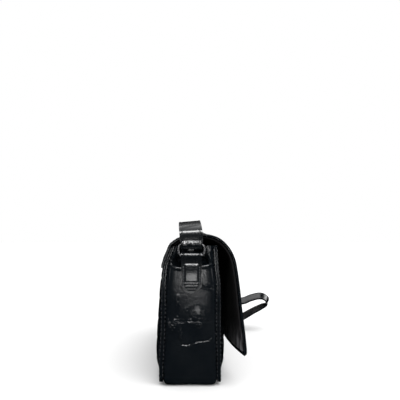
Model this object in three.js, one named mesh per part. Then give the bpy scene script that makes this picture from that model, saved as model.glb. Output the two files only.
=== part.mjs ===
// A small flap bag of embossed leather, standing on its base: two panels joined by one gusset
// strip, a flap over the top with its lining, a ring at each end and a flat shoulder strap.
// X runs along the bag, the front faces -Y and Z is up. Millimetres, origin on the floor.
import * as THREE from 'three';
import { mergeVertices } from 'three/addons/utils/BufferGeometryUtils.js';

// Body
const BODY_LENGTH = 220; // between the faces of the two end walls
const PANEL_HEIGHT = 139; // of the front panel, from its foot to its top at the ends
const BODY_DEPTH = 60; // over the seams at the foot
const BODY_LEATHER = 1.5;
const SEAM_WIDTH = 3.2; // how far the sewn edges stand out from the seam's root
const GUSSET_FILL = 5.2; // how far the gusset's face stands out from the seam's root
const FOOT_RADIUS = 3; // root of the seam round the foot's corners
const BACK_DROP = 1; // back panel's top below the front panel's
const FRONT_SAG = 1.5; // dip of the front panel's top at mid-length
const PANEL_BULGE = 6;
const BULGE_EASE_X = 32; // run from an end seam to the full bulge
const BULGE_EASE_Z = 14; // run from the foot seam to the full bulge
const DENT_DEPTH = 14; // fold of the gusset's top, inward
const DENT_HEIGHT = 25.75; // of the fold, down from the panel's top

// Flap
const FLAP_LENGTH = 219;
const FLAP_LEATHER = 2.2;
const LINING = 1.8;
const LINING_INSET = 2.5; // lining's edge inside the flap's edge
const FLAP_LAP = 22.45; // how far below the front panel's top the flap's sewn edge lies
const FLAP_TURN = 1.5; // how far above the back panel's top the flap starts to turn over
const FLAP_CORNER = 5; // rounding of the hem's corners
const FLARE_POWER = 2.2; // how suddenly the flap's ends flare out

// Rings and tabs
const WIRE_RADIUS = 1.2;
const RING_BAR = 22.2; // straight length of each bar
const RING_BOW = 1.85; // how far the ends bow out past the bars
const RING_PITCH = 10.5; // between the two bars' centres
const RING_PLAY = 0.6; // leather's clearance round a bar
const BAR_DROP = 9.55; // lower bar's centre, down from the panel's top
const TAB_LEATHER = 1.6;
const TAB_WIDTH = 20.4;
const TAB_POINT_LENGTH = 9;
const TAB_SPREAD = 0.35; // how much of its way out to the bar a tab has gone under the bar
const TAB_LENGTH = 38.2; // from the lower bar's centre down to the tip
const TAB_BACK_LENGTH = 32.2; // of the tab's inner layer, from the same centre
const HARDWARE_Y = -1; // line of rings, tabs and strap ends

// Strap
const STRAP_WIDTH = 22.8;
const STRAP_THICKNESS = 2.4;
const STRAP_FOLD_WIDTH = 21; // where it goes round a bar
const STRAP_TAIL = 9; // folded end above the upper bar
const FLOOR_CLEARANCE = 0.4;

// Closure
const SNAP_DIAMETER = 16;
const SNAP_HEIGHT = 50;
const SNAP_GAP = 0.45; // on each side, as both faces curve

const GAP = 0.3; // between pieces that lie on each other
const REST_GAP = 0.5; // under the strap, where it lies on the flap

// In the tables below a height counts from the panels' foot, as a share of the panel's height.

// Lines of the two long seams: height, and each seam's distance from the bag's middle plane as a
// share of half the body's depth.
const SEAM_LINE = [
  { height: 0, back: 1.0, front: 0.97 },
  { height: 0.15, back: 0.99, front: 0.962 },
  { height: 0.4, back: 0.927, front: 0.943 },
  { height: 0.72, back: 0.903, front: 0.943 },
  { height: 0.81, back: 0.872, front: 0.9 },
  { height: 0.86, back: 0.835, front: 0.875 },
  { height: 1.0, back: 0.58, front: 0.84 },
  { height: 1.03, back: 0.52, front: 0.835 },
];

// Share of the panels' bulge at each height.
const BULGE_BY_HEIGHT = [
  { height: 0, bulge: 0.75 },
  { height: 0.3, bulge: 1 },
  { height: 0.45, bulge: 0.95 },
  { height: 0.65, bulge: 0.7 },
  { height: 0.85, bulge: 0.35 },
  { height: 1.03, bulge: 0.2 },
];

// Gusset's section beside a seam: distance from the seam in leather thicknesses, stand-out as
// a share of the gusset's fill, and how much of the top's dent the point takes.
const GUSSET_EDGE = [
  { beside: 1.7, out: 0.07, dent: 0 },
  { beside: 2.9, out: 0.63, dent: 0.08 },
  { beside: 3.9, out: 0.9, dent: 0.3 },
  { beside: 5.4, out: 1, dent: 0.68 },
];
const GUSSET_MIDDLE = [0.25, 0.375, 0.5, 0.625, 0.75]; // shares of its width, all on the flat

const WALL_ROWS = [1, 0.97, 0.94, 0.91, 0.885, 0.86, 0.835, 0.81, 0.72, 0.6, 0.45, 0.3, 0.17];
const PANEL_ROWS = [0.17, 0.28, 0.4, 0.52, 0.64, 0.74, 0.82, 0.88, 0.94, 1];
const PANEL_COLUMNS = [0, 0.25, 0.45, 0.62, 0.75, 0.84, 0.9, 0.94, 0.97, 1];
const CORNER_STEPS = 4;
const BAR_STEPS = 10; // of leather round a bar
const BOW_STEPS = 8; // of a ring's bowed end
const WIRE_SIDES = 8;
const SNAP_SIDES = 24;
const STRAP_STEPS = 2; // between two rows of the strap's route

// Flap's outer line past the back panel's top, to the hem: y as a share of the body's depth
// and z as a height, at the flap's ends and at mid-length.
const FLAP_LINE = [
  { endY: 0.272, endZ: 1.041, midY: 0.292, midZ: 1.025 },
  { endY: 0.197, endZ: 1.06, midY: 0.2, midZ: 1.045 },
  { endY: 0.05, endZ: 1.08, midY: 0.05, midZ: 1.062 },
  { endY: -0.1, endZ: 1.086, midY: -0.1, midZ: 1.068 },
  { endY: -0.225, endZ: 1.083, midY: -0.225, midZ: 1.067 },
  { endY: -0.35, endZ: 1.073, midY: -0.342, midZ: 1.06 },
  { endY: -0.467, endZ: 1.055, midY: -0.45, midZ: 1.043 },
  { endY: -0.567, endZ: 1.021, midY: -0.545, midZ: 1.014 },
  { endY: -0.667, endZ: 0.969, midY: -0.617, midZ: 0.968 },
  { endY: -0.743, endZ: 0.897, midY: -0.665, midZ: 0.897 },
  { endY: -0.775, endZ: 0.829, midY: -0.685, midZ: 0.829 },
  { endY: -0.822, endZ: 0.683, midY: -0.702, midZ: 0.683 },
  { endY: -0.852, endZ: 0.552, midY: -0.712, midZ: 0.552 },
  { endY: -0.89, endZ: 0.417, midY: -0.718, midZ: 0.417 },
  { endY: -0.918, endZ: 0.3, midY: -0.717, midZ: 0.3 },
  { endY: -0.927, endZ: 0.25, midY: -0.715, midZ: 0.25 },
  { endY: -0.927, endZ: 0.225, midY: -0.713, midZ: 0.225 },
  { endY: -0.924, endZ: 0.209, midY: -0.711, midZ: 0.209 },
];
const FLAP_SEWN_ROWS = [0, 0.33, 0.66, 1]; // shares of the stretch sewn on the back panel
const FLAP_COLUMNS = [0, 0.2, 0.4, 0.56, 0.7, 0.81, 0.9, 0.96, 1];

// Tab's point: share of its length from the shoulders, and share of the tab's width left.
const TAB_POINT = [
  { along: 0, width: 1 },
  { along: 0.3, width: 0.93 },
  { along: 0.6, width: 0.68 },
  { along: 0.85, width: 0.34 },
  { along: 1, width: 0.08 },
];

// Strap from the near ring over the crown: inboard from its own outer layer as a share of half
// the body's length, up from the upper bar as a share of the panel's height, its shift to the
// back as a share of the body's depth, and its roll as the rise of its front edge over its run.
const STRAP_RISE = [
  { inboard: 0.0005, up: 0.03, back: 0, roll: 0 },
  { inboard: 0.001, up: 0.06, back: 0.005, roll: 0.01 },
  { inboard: 0.006, up: 0.085, back: 0.01, roll: 0.03 },
  { inboard: 0.02, up: 0.105, back: 0.015, roll: 0.05 },
  { inboard: 0.06, up: 0.121, back: 0.02, roll: 0.07 },
  { inboard: 0.14, up: 0.139, back: 0.025, roll: 0.08 },
  { inboard: 0.27, up: 0.158, back: 0.03, roll: 0.09 },
  { inboard: 0.42, up: 0.171, back: 0.033, roll: 0.09 },
  { inboard: 0.56, up: 0.173, back: 0.033, roll: 0.08 },
  { inboard: 0.72, up: 0.161, back: 0.03, roll: 0.05 },
  { inboard: 0.88, up: 0.137, back: 0.02, roll: 0.02 },
  { inboard: 1.02, up: 0.111, back: 0.01, roll: 0 },
  { inboard: 1.14, up: 0.089, back: 0, roll: 0 },
];

// Where the strap lies on the flap: x as a share of half the flap's length and y as a share of
// the body's depth.
const STRAP_REST = [
  { along: 0.25, across: -0.03 },
  { along: 0.45, across: -0.05 },
  { along: 0.62, across: -0.1 },
  { along: 0.78, across: -0.19 },
  { along: 0.9, across: -0.29 },
  { along: 0.98, across: -0.38 },
];

// Strap past the far end: distance beyond the end wall in strap widths, y as a share of the
// body's depth, height, and the direction of the strap's width there.
const STRAP_LOOP = [
  { out: 0.12, across: -0.43, up: 1.082, face: [0.08, 0.88, 0.44] },
  { out: 0.42, across: -0.52, up: 1.015, face: [0.25, 0.8, 0.5] },
  { out: 0.78, across: -0.62, up: 0.88, face: [0.55, 0.8, 0.2] },
  { out: 1.04, across: -0.74, up: 0.7, face: [0.85, 0.5, 0] },
  { out: 1.18, across: -0.86, up: 0.51, face: [1, 0.2, 0] },
  { out: 1.24, across: -1.03, up: 0.378, face: [1, 0, 0.08] },
  { out: 1.27, across: -1.22, up: 0.32, face: [1, 0, 0.14] },
  { out: 1.28, across: -1.42, up: 0.316, face: [1, -0.04, 0.17] },
  { out: 1.28, across: -1.63, up: 0.35, face: [1, -0.1, 0.18] },
  { out: 1.28, across: -1.84, up: 0.372, face: [1, -0.17, 0.18] },
  { out: 1.28, across: -1.98, up: 0.364, face: [1, -0.24, 0.16] },
  { out: 1.27, across: -2.075, up: 0.33, face: [1, -0.28, 0.12] },
  { out: 1.27, across: -2.06, up: 0.288, face: [1, -0.26, 0.08] },
  { out: 1.26, across: -1.93, up: 0.254, face: [1, -0.18, 0.08] },
  { out: 1.25, across: -1.7, up: 0.204, face: [1, -0.1, 0.1] },
  { out: 1.24, across: -1.44, up: 0.14, face: [1, 0, 0.1] },
  { out: 1.2, across: -1.15, up: 0.072, face: [1, 0.05, 0.06] },
  { out: 1.14, across: -0.9, up: 0.018, face: [1, 0.08, 0.02] },
];

// The strap's last stretch, along the floor and up to the far ring: the same columns, with the
// height counted from where the strap lies on the floor.
const STRAP_RETURN = [
  { out: 1.09, across: -0.66, up: 0, face: [1, 0.08, 0] },
  { out: 1.05, across: -0.4, up: 0, face: [1, 0.06, 0] },
  { out: 1.02, across: -0.16, up: 0.012, face: [1, 0.04, 0] },
  { out: 1.0, across: 0.03, up: 0.07, face: [1, 0.05, 0] },
  { out: 0.99, across: 0.105, up: 0.19, face: [0.95, 0.25, 0] },
  { out: 0.96, across: 0.1, up: 0.35, face: [0.75, 0.65, 0] },
  { out: 0.9, across: 0.06, up: 0.52, face: [0.45, 0.9, 0] },
  { out: 0.83, across: 0.02, up: 0.7, face: [0.15, 1, 0] },
  { out: 0.78, across: -0.01, up: 0.88, face: [0, 1, 0] },
];

// The hairpin over which the strap leaves the far ring: distance outward from the strap's outer
// layer in strap thicknesses, and height above the upper bar as a share of the panel's height.
const STRAP_HAIRPIN = [
  { outward: 4.7, up: 0.03 },
  { outward: 4.6, up: 0.085 },
  { outward: 3.7, up: 0.122 },
  { outward: 2.2, up: 0.136 },
  { outward: 0.8, up: 0.118 },
  { outward: 0.15, up: 0.08 },
];

const END_FACE = BODY_LENGTH / 2;
const ROOT_X = END_FACE - GUSSET_FILL - BODY_LEATHER / 2;
const ROOT_Z = GUSSET_FILL + BODY_LEATHER / 2;
const PANEL_HALF = ROOT_X + SEAM_WIDTH;
const PANEL_FOOT = ROOT_Z - SEAM_WIDTH;
const PANEL_TOP = PANEL_FOOT + PANEL_HEIGHT;
const LOWER_BAR_HEIGHT = PANEL_TOP - BAR_DROP;
const UPPER_BAR_HEIGHT = LOWER_BAR_HEIGHT + RING_PITCH;
const TAB_TIP_HEIGHT = LOWER_BAR_HEIGHT - TAB_LENGTH;
const TAB_BACK_HEIGHT = LOWER_BAR_HEIGHT - TAB_BACK_LENGTH;
const FLAP_SEAM_HEIGHT = PANEL_TOP - FLAP_LAP;
const DENT_START = PANEL_TOP - DENT_HEIGHT;
const PANEL_CORNER = FOOT_RADIUS + SEAM_WIDTH;
const RING_X = END_FACE + GAP + TAB_LEATHER + RING_PLAY + WIRE_RADIUS;
const STRAP_LOOP_RADIUS = WIRE_RADIUS + RING_PLAY + STRAP_THICKNESS / 2;
const TAB_LOOP_RADIUS = WIRE_RADIUS + RING_PLAY + TAB_LEATHER / 2;

/** Smooth step from 0 to 1. */
function ease(share) {
  const t = THREE.MathUtils.clamp(share, 0, 1);
  return t * t * (3 - 2 * t);
}

/** Value of a table's column, by straight steps between its rows. */
function lookUp(table, key, column, at) {
  let row = 0;
  while (row < table.length - 2 && table[row + 1][key] < at) {
    row += 1;
  }
  const low = table[row];
  const high = table[row + 1];
  const share = (at - low[key]) / (high[key] - low[key]);
  return THREE.MathUtils.lerp(low[column], high[column], share);
}

/** Share of the panel's height at a height above the floor. */
function shareAt(z) {
  return (z - PANEL_FOOT) / PANEL_HEIGHT;
}

/** Height above the floor at a share of the panel's height. */
function heightAt(share) {
  return PANEL_FOOT + share * PANEL_HEIGHT;
}

/** Both signs of a list of shares, from -1 to 1. */
function bothSides(shares) {
  const negative = shares.filter((share) => share > 0).map((share) => -share);
  return [...negative.reverse(), ...shares];
}

/** Closed geometry from points and triangles, with its faces pointing out. */
function closedGeometry(points, triangles) {
  let volume = 0;
  const cross = new THREE.Vector3();
  for (const [a, b, c] of triangles) {
    volume += cross.crossVectors(points[b], points[c]).dot(points[a]);
  }
  const turned = volume < 0 ? triangles.map(([a, b, c]) => [a, c, b]) : triangles;
  const geometry = new THREE.BufferGeometry();
  const coordinates = points.flatMap((p) => [p.x, p.y, p.z]);
  geometry.setAttribute('position', new THREE.Float32BufferAttribute(coordinates, 3));
  geometry.setIndex(turned.flat());
  geometry.computeVertexNormals();
  return geometry;
}

/** Solid between two grids of points, closed round its four edges. */
function sheetSolid(outer, inner) {
  const rows = outer.length;
  const columns = outer[0].length;
  const points = [...outer.flat(), ...inner.flat()];
  const foot = rows - 1;
  const end = columns - 1;
  const triangles = [];
  const at = (layer, row, column) => layer * rows * columns + row * columns + column;
  const quad = (a, b, c, d) => triangles.push([a, b, c], [a, c, d]);
  for (let i = 0; i < foot; i += 1) {
    for (let j = 0; j < end; j += 1) {
      quad(at(0, i, j), at(0, i, j + 1), at(0, i + 1, j + 1), at(0, i + 1, j));
      quad(at(1, i, j), at(1, i + 1, j), at(1, i + 1, j + 1), at(1, i, j + 1));
    }
    quad(at(0, i, 0), at(0, i + 1, 0), at(1, i + 1, 0), at(1, i, 0));
    quad(at(0, i, end), at(1, i, end), at(1, i + 1, end), at(0, i + 1, end));
  }
  for (let j = 0; j < end; j += 1) {
    quad(at(0, 0, j), at(1, 0, j), at(1, 0, j + 1), at(0, 0, j + 1));
    quad(at(0, foot, j), at(0, foot, j + 1), at(1, foot, j + 1), at(1, foot, j));
  }
  return closedGeometry(points, triangles);
}

/** Normals of a grid of points, turned so that on the whole they look along a direction. */
function gridNormals(grid, towards) {
  const rows = grid.length;
  const columns = grid[0].length;
  const normals = grid.map((row, i) => row.map((_, j) => {
    const down = grid[Math.min(i + 1, rows - 1)][j].clone().sub(grid[Math.max(i - 1, 0)][j]);
    const along = row[Math.min(j + 1, columns - 1)].clone().sub(row[Math.max(j - 1, 0)]);
    return down.cross(along).normalize();
  }));
  const whole = normals.flat().reduce((sum, normal) => sum + normal.dot(towards), 0);
  const sign = whole < 0 ? -1 : 1;
  return normals.map((row) => row.map((normal) => normal.multiplyScalar(sign)));
}

/** Grid moved against its normals by a distance. */
function offsetGrid(grid, normals, distance) {
  const move = (point, normal) => point.clone().addScaledVector(normal, -distance);
  return grid.map((row, i) => row.map((point, j) => move(point, normals[i][j])));
}

/** Distance of a seam from the bag's middle plane at a height, towards the back or the front. */
function seamDistance(side, z) {
  return (BODY_DEPTH / 2) * lookUp(SEAM_LINE, 'height', side, shareAt(z));
}

/** How far a panel stands out past its seam at a place. */
function bulgeAt(x, z) {
  const fromEnd = ease((PANEL_HALF - Math.abs(x) - SEAM_WIDTH) / BULGE_EASE_X);
  const fromFoot = ease((z - PANEL_FOOT - SEAM_WIDTH) / BULGE_EASE_Z);
  return PANEL_BULGE * fromEnd * fromFoot * lookUp(BULGE_BY_HEIGHT, 'height', 'bulge', shareAt(z));
}

/** Outer face of a panel at a place: +1 is the back, -1 the front. */
function panelOuter(sign, x, z) {
  const side = sign > 0 ? 'back' : 'front';
  const y = seamDistance(side, z) + GAP / 2 + BODY_LEATHER + bulgeAt(x, z);
  return new THREE.Vector3(x, sign * y, z);
}

/** A panel: a rounded foot, straight seams up its ends and an open top. */
function panelGeometry(sign) {
  const columns = bothSides(PANEL_COLUMNS);
  const drop = sign > 0 ? BACK_DROP : 0;
  const sag = sign > 0 ? 0 : FRONT_SAG;
  const cornerTop = PANEL_FOOT + PANEL_CORNER;
  const outer = [];
  for (let step = 0; step <= CORNER_STEPS; step += 1) {
    const angle = (step / CORNER_STEPS) * (Math.PI / 2);
    const half = PANEL_HALF - PANEL_CORNER * (1 - Math.sin(angle));
    const z = cornerTop - PANEL_CORNER * Math.cos(angle);
    outer.push(columns.map((share) => panelOuter(sign, share * half, z)));
  }
  for (const share of PANEL_ROWS) {
    outer.push(columns.map((across) => {
      const top = PANEL_TOP - drop - sag * (1 - across * across);
      return panelOuter(sign, across * PANEL_HALF, cornerTop + share * (top - cornerTop));
    }));
  }
  const inner = outer.map((row) => row.map((p) => new THREE.Vector3(p.x, p.y - sign * BODY_LEATHER, p.z)));
  return sheetSolid(outer, inner);
}

/** Moves an open line of points sideways by a distance, with mitred corners. */
function offsetLine(line, distance) {
  return line.map((point, i) => {
    const before = point.clone().sub(line[Math.max(i - 1, 0)]).normalize();
    const after = line[Math.min(i + 1, line.length - 1)].clone().sub(point).normalize();
    const first = i === 0 ? after : before;
    const second = i === line.length - 1 ? before : after;
    const normal = new THREE.Vector2(-first.y - second.y, first.x + second.x).normalize();
    const reach = distance / normal.dot(new THREE.Vector2(-first.y, first.x));
    return point.clone().addScaledVector(normal, reach);
  });
}

/** Middle line of the gusset's leather across the bag at a height: x is y, y is the stand-out. */
function gussetLine(z, dentShare) {
  const back = seamDistance('back', z) - GAP / 2;
  const front = -seamDistance('front', z) + GAP / 2;
  const dent = DENT_DEPTH * dentShare;
  const flange = BODY_LEATHER / 2;
  const edge = (sign, start) => [
    new THREE.Vector2(start - sign * flange, SEAM_WIDTH),
    new THREE.Vector2(start - sign * flange, 0),
    ...GUSSET_EDGE.map((row) => new THREE.Vector2(
      start - sign * row.beside * BODY_LEATHER,
      row.out * GUSSET_FILL - row.dent * dent,
    )),
  ];
  const middle = GUSSET_MIDDLE.map((share) => new THREE.Vector2(
    THREE.MathUtils.lerp(back, front, share),
    GUSSET_FILL - dent,
  ));
  return [...edge(1, back), ...middle, ...edge(-1, front).reverse()];
}

/** Stations down one end wall, across the base and up the other: a root point, its outward
 * direction and the share of the top's dent. */
function gussetStations() {
  const cornerX = ROOT_X - FOOT_RADIUS;
  const cornerZ = ROOT_Z + FOOT_RADIUS;
  const wall = WALL_ROWS.map((share) => {
    const z = cornerZ + share * (PANEL_TOP - cornerZ);
    const dent = ease((z - DENT_START) / (PANEL_TOP - DENT_START));
    return { x: -ROOT_X, z, outX: -1, outZ: 0, dent };
  });
  const corner = [];
  for (let step = 0; step <= CORNER_STEPS; step += 1) {
    const angle = (step / CORNER_STEPS) * (Math.PI / 2);
    const outX = -Math.cos(angle);
    const outZ = -Math.sin(angle);
    const x = FOOT_RADIUS * outX - cornerX;
    const z = cornerZ + FOOT_RADIUS * outZ;
    corner.push({ x, z, outX, outZ, dent: 0 });
  }
  const near = [...wall, ...corner];
  const far = near.map((station) => ({ ...station, x: -station.x, outX: -station.outX })).reverse();
  return [...near, ...far];
}

/** The gusset: one strip of leather with its sewn edges standing out. */
function gussetGeometry() {
  const grids = { outer: [], inner: [] };
  for (const station of gussetStations()) {
    const line = gussetLine(station.z, station.dent);
    const place = (p) => new THREE.Vector3(
      station.x + station.outX * p.y,
      p.x,
      station.z + station.outZ * p.y,
    );
    grids.outer.push(offsetLine(line, -BODY_LEATHER / 2).map(place));
    grids.inner.push(offsetLine(line, BODY_LEATHER / 2).map(place));
  }
  return sheetSolid(grids.outer, grids.inner);
}

/** Outer line of the flap past the back panel's top, at a share of its half length. */
function flapLineAt(share) {
  const flare = Math.abs(share) ** FLARE_POWER;
  return FLAP_LINE.map((row) => ({
    y: BODY_DEPTH * THREE.MathUtils.lerp(row.midY, row.endY, flare),
    z: heightAt(THREE.MathUtils.lerp(row.midZ, row.endZ, flare)),
  }));
}

/** Point of the flap's outer face on the stretch that is sewn to the back panel. */
function sewnPoint(x, z) {
  const step = 1;
  const here = panelOuter(1, x, z);
  const up = panelOuter(1, x, z + step).sub(here);
  const along = panelOuter(1, x + step, z).sub(here);
  const normal = up.cross(along).normalize();
  const outward = normal.y < 0 ? normal.negate() : normal;
  return here.addScaledVector(outward, GAP + FLAP_LEATHER);
}

/** Half length of the flap at a height, less near its lower corners. */
function flapHalf(z, hem, half) {
  const above = Math.min(Math.max(z - hem, 0), FLAP_CORNER);
  const rounding = FLAP_CORNER - Math.sqrt(FLAP_CORNER ** 2 - (FLAP_CORNER - above) ** 2);
  return half - rounding;
}

/** Grid of the flap's outer face, from its sewn edge over the crown to the hem. */
function flapGrid(half, firstLineRow, withSewn) {
  const columns = bothSides(FLAP_COLUMNS);
  const sewnTop = PANEL_TOP - BACK_DROP + FLAP_TURN;
  const hem = heightAt(FLAP_LINE[FLAP_LINE.length - 1].endZ);
  const rows = [];
  if (withSewn) {
    for (const share of FLAP_SEWN_ROWS) {
      const z = THREE.MathUtils.lerp(FLAP_SEAM_HEIGHT, sewnTop, share);
      rows.push(columns.map((across) => sewnPoint(across * half, z)));
    }
  }
  const lines = columns.map((across) => flapLineAt((across * half) / (FLAP_LENGTH / 2)));
  for (let row = firstLineRow; row < FLAP_LINE.length; row += 1) {
    rows.push(columns.map((across, column) => {
      const { y, z } = lines[column][row];
      const front = y < 0 ? flapHalf(z, hem, half) : half;
      return new THREE.Vector3(across * front, y, z);
    }));
  }
  return rows;
}

/** The flap's leather. */
function flapGeometry() {
  const outer = flapGrid(FLAP_LENGTH / 2, 0, true);
  const normals = gridNormals(outer, new THREE.Vector3(0, 0, 1));
  return sheetSolid(outer, offsetGrid(outer, normals, FLAP_LEATHER));
}

/** The flap's lining, under the leather from behind the crown to just above the hem. */
function liningGeometry() {
  const whole = flapGrid(FLAP_LENGTH / 2 - LINING_INSET, 0, true);
  const normals = gridNormals(whole, new THREE.Vector3(0, 0, 1));
  const first = FLAP_SEWN_ROWS.length;
  const last = whole.length - 1;
  const top = offsetGrid(whole, normals, FLAP_LEATHER + GAP).slice(first, last);
  const under = offsetGrid(whole, normals, FLAP_LEATHER + GAP + LINING).slice(first, last);
  return sheetSolid(top, under);
}

/** Flat band along stations of a point and a width direction, with a half width at each. */
function bandGeometry(stations, thickness) {
  const outer = [];
  const inner = [];
  stations.forEach((station, i) => {
    const before = stations[Math.max(i - 1, 0)].point;
    const after = stations[Math.min(i + 1, stations.length - 1)].point;
    const tangent = after.clone().sub(before).normalize();
    const across = station.face.clone().addScaledVector(tangent, -station.face.dot(tangent)).normalize();
    const normal = tangent.clone().cross(across);
    const edge = (sign, layer) => station.point.clone()
      .addScaledVector(across, sign * station.half)
      .addScaledVector(normal, layer * (thickness / 2));
    outer.push([edge(-1, 1), edge(1, 1)]);
    inner.push([edge(-1, -1), edge(1, -1)]);
  });
  return sheetSolid(outer, inner);
}

/** Points round a bar, from a start to an end angle in degrees, in an end wall's own plane. */
function roundBar(sign, barHeight, radius, startDegrees, endDegrees) {
  const points = [];
  for (let step = 0; step <= BAR_STEPS; step += 1) {
    const degrees = THREE.MathUtils.lerp(startDegrees, endDegrees, step / BAR_STEPS);
    const angle = THREE.MathUtils.degToRad(degrees);
    const out = RING_X + radius * Math.cos(angle);
    points.push(new THREE.Vector3(sign * out, HARDWARE_Y, barHeight + radius * Math.sin(angle)));
  }
  return points;
}

/** A tab: pointed outer layer, fold over the ring's lower bar, and inner layer on the wall. */
function tabGeometry(sign) {
  const innerOut = END_FACE + GAP + TAB_LEATHER / 2;
  const outerOut = innerOut + TAB_LEATHER + GAP;
  const shoulder = TAB_TIP_HEIGHT + TAB_POINT_LENGTH;
  const face = new THREE.Vector3(0, 1, 0);
  const at = (out, z) => new THREE.Vector3(sign * out, HARDWARE_Y, z);
  const stations = TAB_POINT.slice().reverse().map((row) => ({
    point: at(outerOut, shoulder - row.along * TAB_POINT_LENGTH),
    half: (row.width * TAB_WIDTH) / 2,
    face,
  }));
  const middle = (shoulder + LOWER_BAR_HEIGHT) / 2;
  const spread = THREE.MathUtils.lerp(outerOut, RING_X + TAB_LOOP_RADIUS, TAB_SPREAD);
  const rest = [
    at(outerOut, middle),
    at(spread, LOWER_BAR_HEIGHT - 2 * TAB_LOOP_RADIUS),
    ...roundBar(sign, LOWER_BAR_HEIGHT, TAB_LOOP_RADIUS, 0, 180),
    at(innerOut, middle),
    at(innerOut, TAB_BACK_HEIGHT),
  ];
  stations.push(...rest.map((point) => ({ point, half: TAB_WIDTH / 2, face })));
  return bandGeometry(stations, TAB_LEATHER);
}

/** A ring: two straight bars joined by bowed ends, in round wire. */
function ringGeometry(sign) {
  const bar = RING_BAR / 2;
  const high = RING_PITCH / 2;
  const bowRadius = (high ** 2 + RING_BOW ** 2) / (2 * RING_BOW);
  const bowAngle = Math.asin(high / bowRadius);
  const route = [];
  for (const end of [1, -1]) {
    route.push(new THREE.Vector2(0, high * end));
    for (let step = 0; step <= BOW_STEPS; step += 1) {
      const angle = bowAngle * (1 - (2 * step) / BOW_STEPS);
      const y = bar + RING_BOW - bowRadius * (1 - Math.cos(angle));
      route.push(new THREE.Vector2(end * y, end * bowRadius * Math.sin(angle)));
    }
  }
  const centre = new THREE.Vector3(sign * RING_X, HARDWARE_Y, LOWER_BAR_HEIGHT + high);
  const points = [];
  route.forEach((point, i) => {
    const before = point.clone().sub(route[(i + route.length - 1) % route.length]).normalize();
    const after = route[(i + 1) % route.length].clone().sub(point).normalize();
    const normal = new THREE.Vector2(before.y + after.y, -before.x - after.x).normalize();
    const stretch = 1 / normal.dot(new THREE.Vector2(after.y, -after.x));
    for (let side = 0; side < WIRE_SIDES; side += 1) {
      const angle = (2 * Math.PI * side) / WIRE_SIDES;
      const reach = WIRE_RADIUS * Math.cos(angle) * stretch;
      points.push(new THREE.Vector3(
        centre.x + WIRE_RADIUS * Math.sin(angle),
        centre.y + point.x + reach * normal.x,
        centre.z + point.y + reach * normal.y,
      ));
    }
  });
  const triangles = [];
  for (let i = 0; i < route.length; i += 1) {
    const next = (i + 1) % route.length;
    for (let side = 0; side < WIRE_SIDES; side += 1) {
      const turn = (side + 1) % WIRE_SIDES;
      const [a, b] = [i * WIRE_SIDES + side, i * WIRE_SIDES + turn];
      const [c, d] = [next * WIRE_SIDES + turn, next * WIRE_SIDES + side];
      triangles.push([a, b, c], [a, c, d]);
    }
  }
  return closedGeometry(points, triangles);
}

/** The strap's end round an upper bar, from its tail to its outer layer. */
function strapFold(sign) {
  const layers = STRAP_THICKNESS + GAP;
  const outerOut = RING_X + STRAP_LOOP_RADIUS;
  const tailOut = outerOut - layers - GAP;
  const at = (out, z) => new THREE.Vector3(sign * out, HARDWARE_Y, z);
  const tailFoot = UPPER_BAR_HEIGHT + 2 * STRAP_LOOP_RADIUS;
  const tail = [at(tailOut, UPPER_BAR_HEIGHT + STRAP_TAIL), at(tailOut, tailFoot)];
  return [...tail, ...roundBar(sign, UPPER_BAR_HEIGHT, STRAP_LOOP_RADIUS, 180, 360)];
}

/** Height and normal of the flap's crown under a place. */
function crownUnder(x, y) {
  const line = flapLineAt(x / (FLAP_LENGTH / 2));
  let row = 0;
  while (row < line.length - 2 && line[row + 1].y > y) {
    row += 1;
  }
  const low = line[row];
  const high = line[row + 1];
  const slope = (high.z - low.z) / (high.y - low.y);
  const z = low.z + slope * (y - low.y);
  return { z, normal: new THREE.Vector3(0, -slope, 1).normalize() };
}

/** The strap's whole route: points, width directions and half widths. */
function strapRoute() {
  const across = new THREE.Vector3(0, 1, 0);
  const full = STRAP_WIDTH / 2;
  const outerOut = RING_X + STRAP_LOOP_RADIUS;
  const floor = FLOOR_CLEARANCE + STRAP_THICKNESS / 2;
  const route = strapFold(-1).map((point) => ({ point, face: across, half: STRAP_FOLD_WIDTH / 2 }));
  const add = (point, face) => route.push({ point, face, half: full });
  for (const row of STRAP_RISE) {
    const x = -outerOut + row.inboard * END_FACE;
    const y = HARDWARE_Y + row.back * BODY_DEPTH;
    const z = UPPER_BAR_HEIGHT + row.up * PANEL_HEIGHT;
    add(new THREE.Vector3(x, y, z), new THREE.Vector3(0, 1, -row.roll));
  }
  for (const row of STRAP_REST) {
    const x = row.along * (FLAP_LENGTH / 2);
    const y = row.across * BODY_DEPTH;
    const { z, normal } = crownUnder(x, y);
    const point = new THREE.Vector3(x, y, z).addScaledVector(normal, REST_GAP + STRAP_THICKNESS / 2);
    add(point, new THREE.Vector3(0, normal.z, -normal.y));
  }
  const addFree = (row, base) => {
    const x = END_FACE + row.out * STRAP_WIDTH;
    const z = base + row.up * PANEL_HEIGHT;
    add(new THREE.Vector3(x, row.across * BODY_DEPTH, z), new THREE.Vector3(...row.face));
  };
  STRAP_LOOP.forEach((row) => addFree(row, PANEL_FOOT));
  STRAP_RETURN.forEach((row) => addFree(row, floor));
  for (const row of STRAP_HAIRPIN) {
    const x = outerOut + row.outward * STRAP_THICKNESS;
    add(new THREE.Vector3(x, HARDWARE_Y, UPPER_BAR_HEIGHT + row.up * PANEL_HEIGHT), across);
  }
  const farFold = strapFold(1).reverse();
  route.push(...farFold.map((point) => ({ point, face: across, half: STRAP_FOLD_WIDTH / 2 })));
  return route;
}

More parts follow.
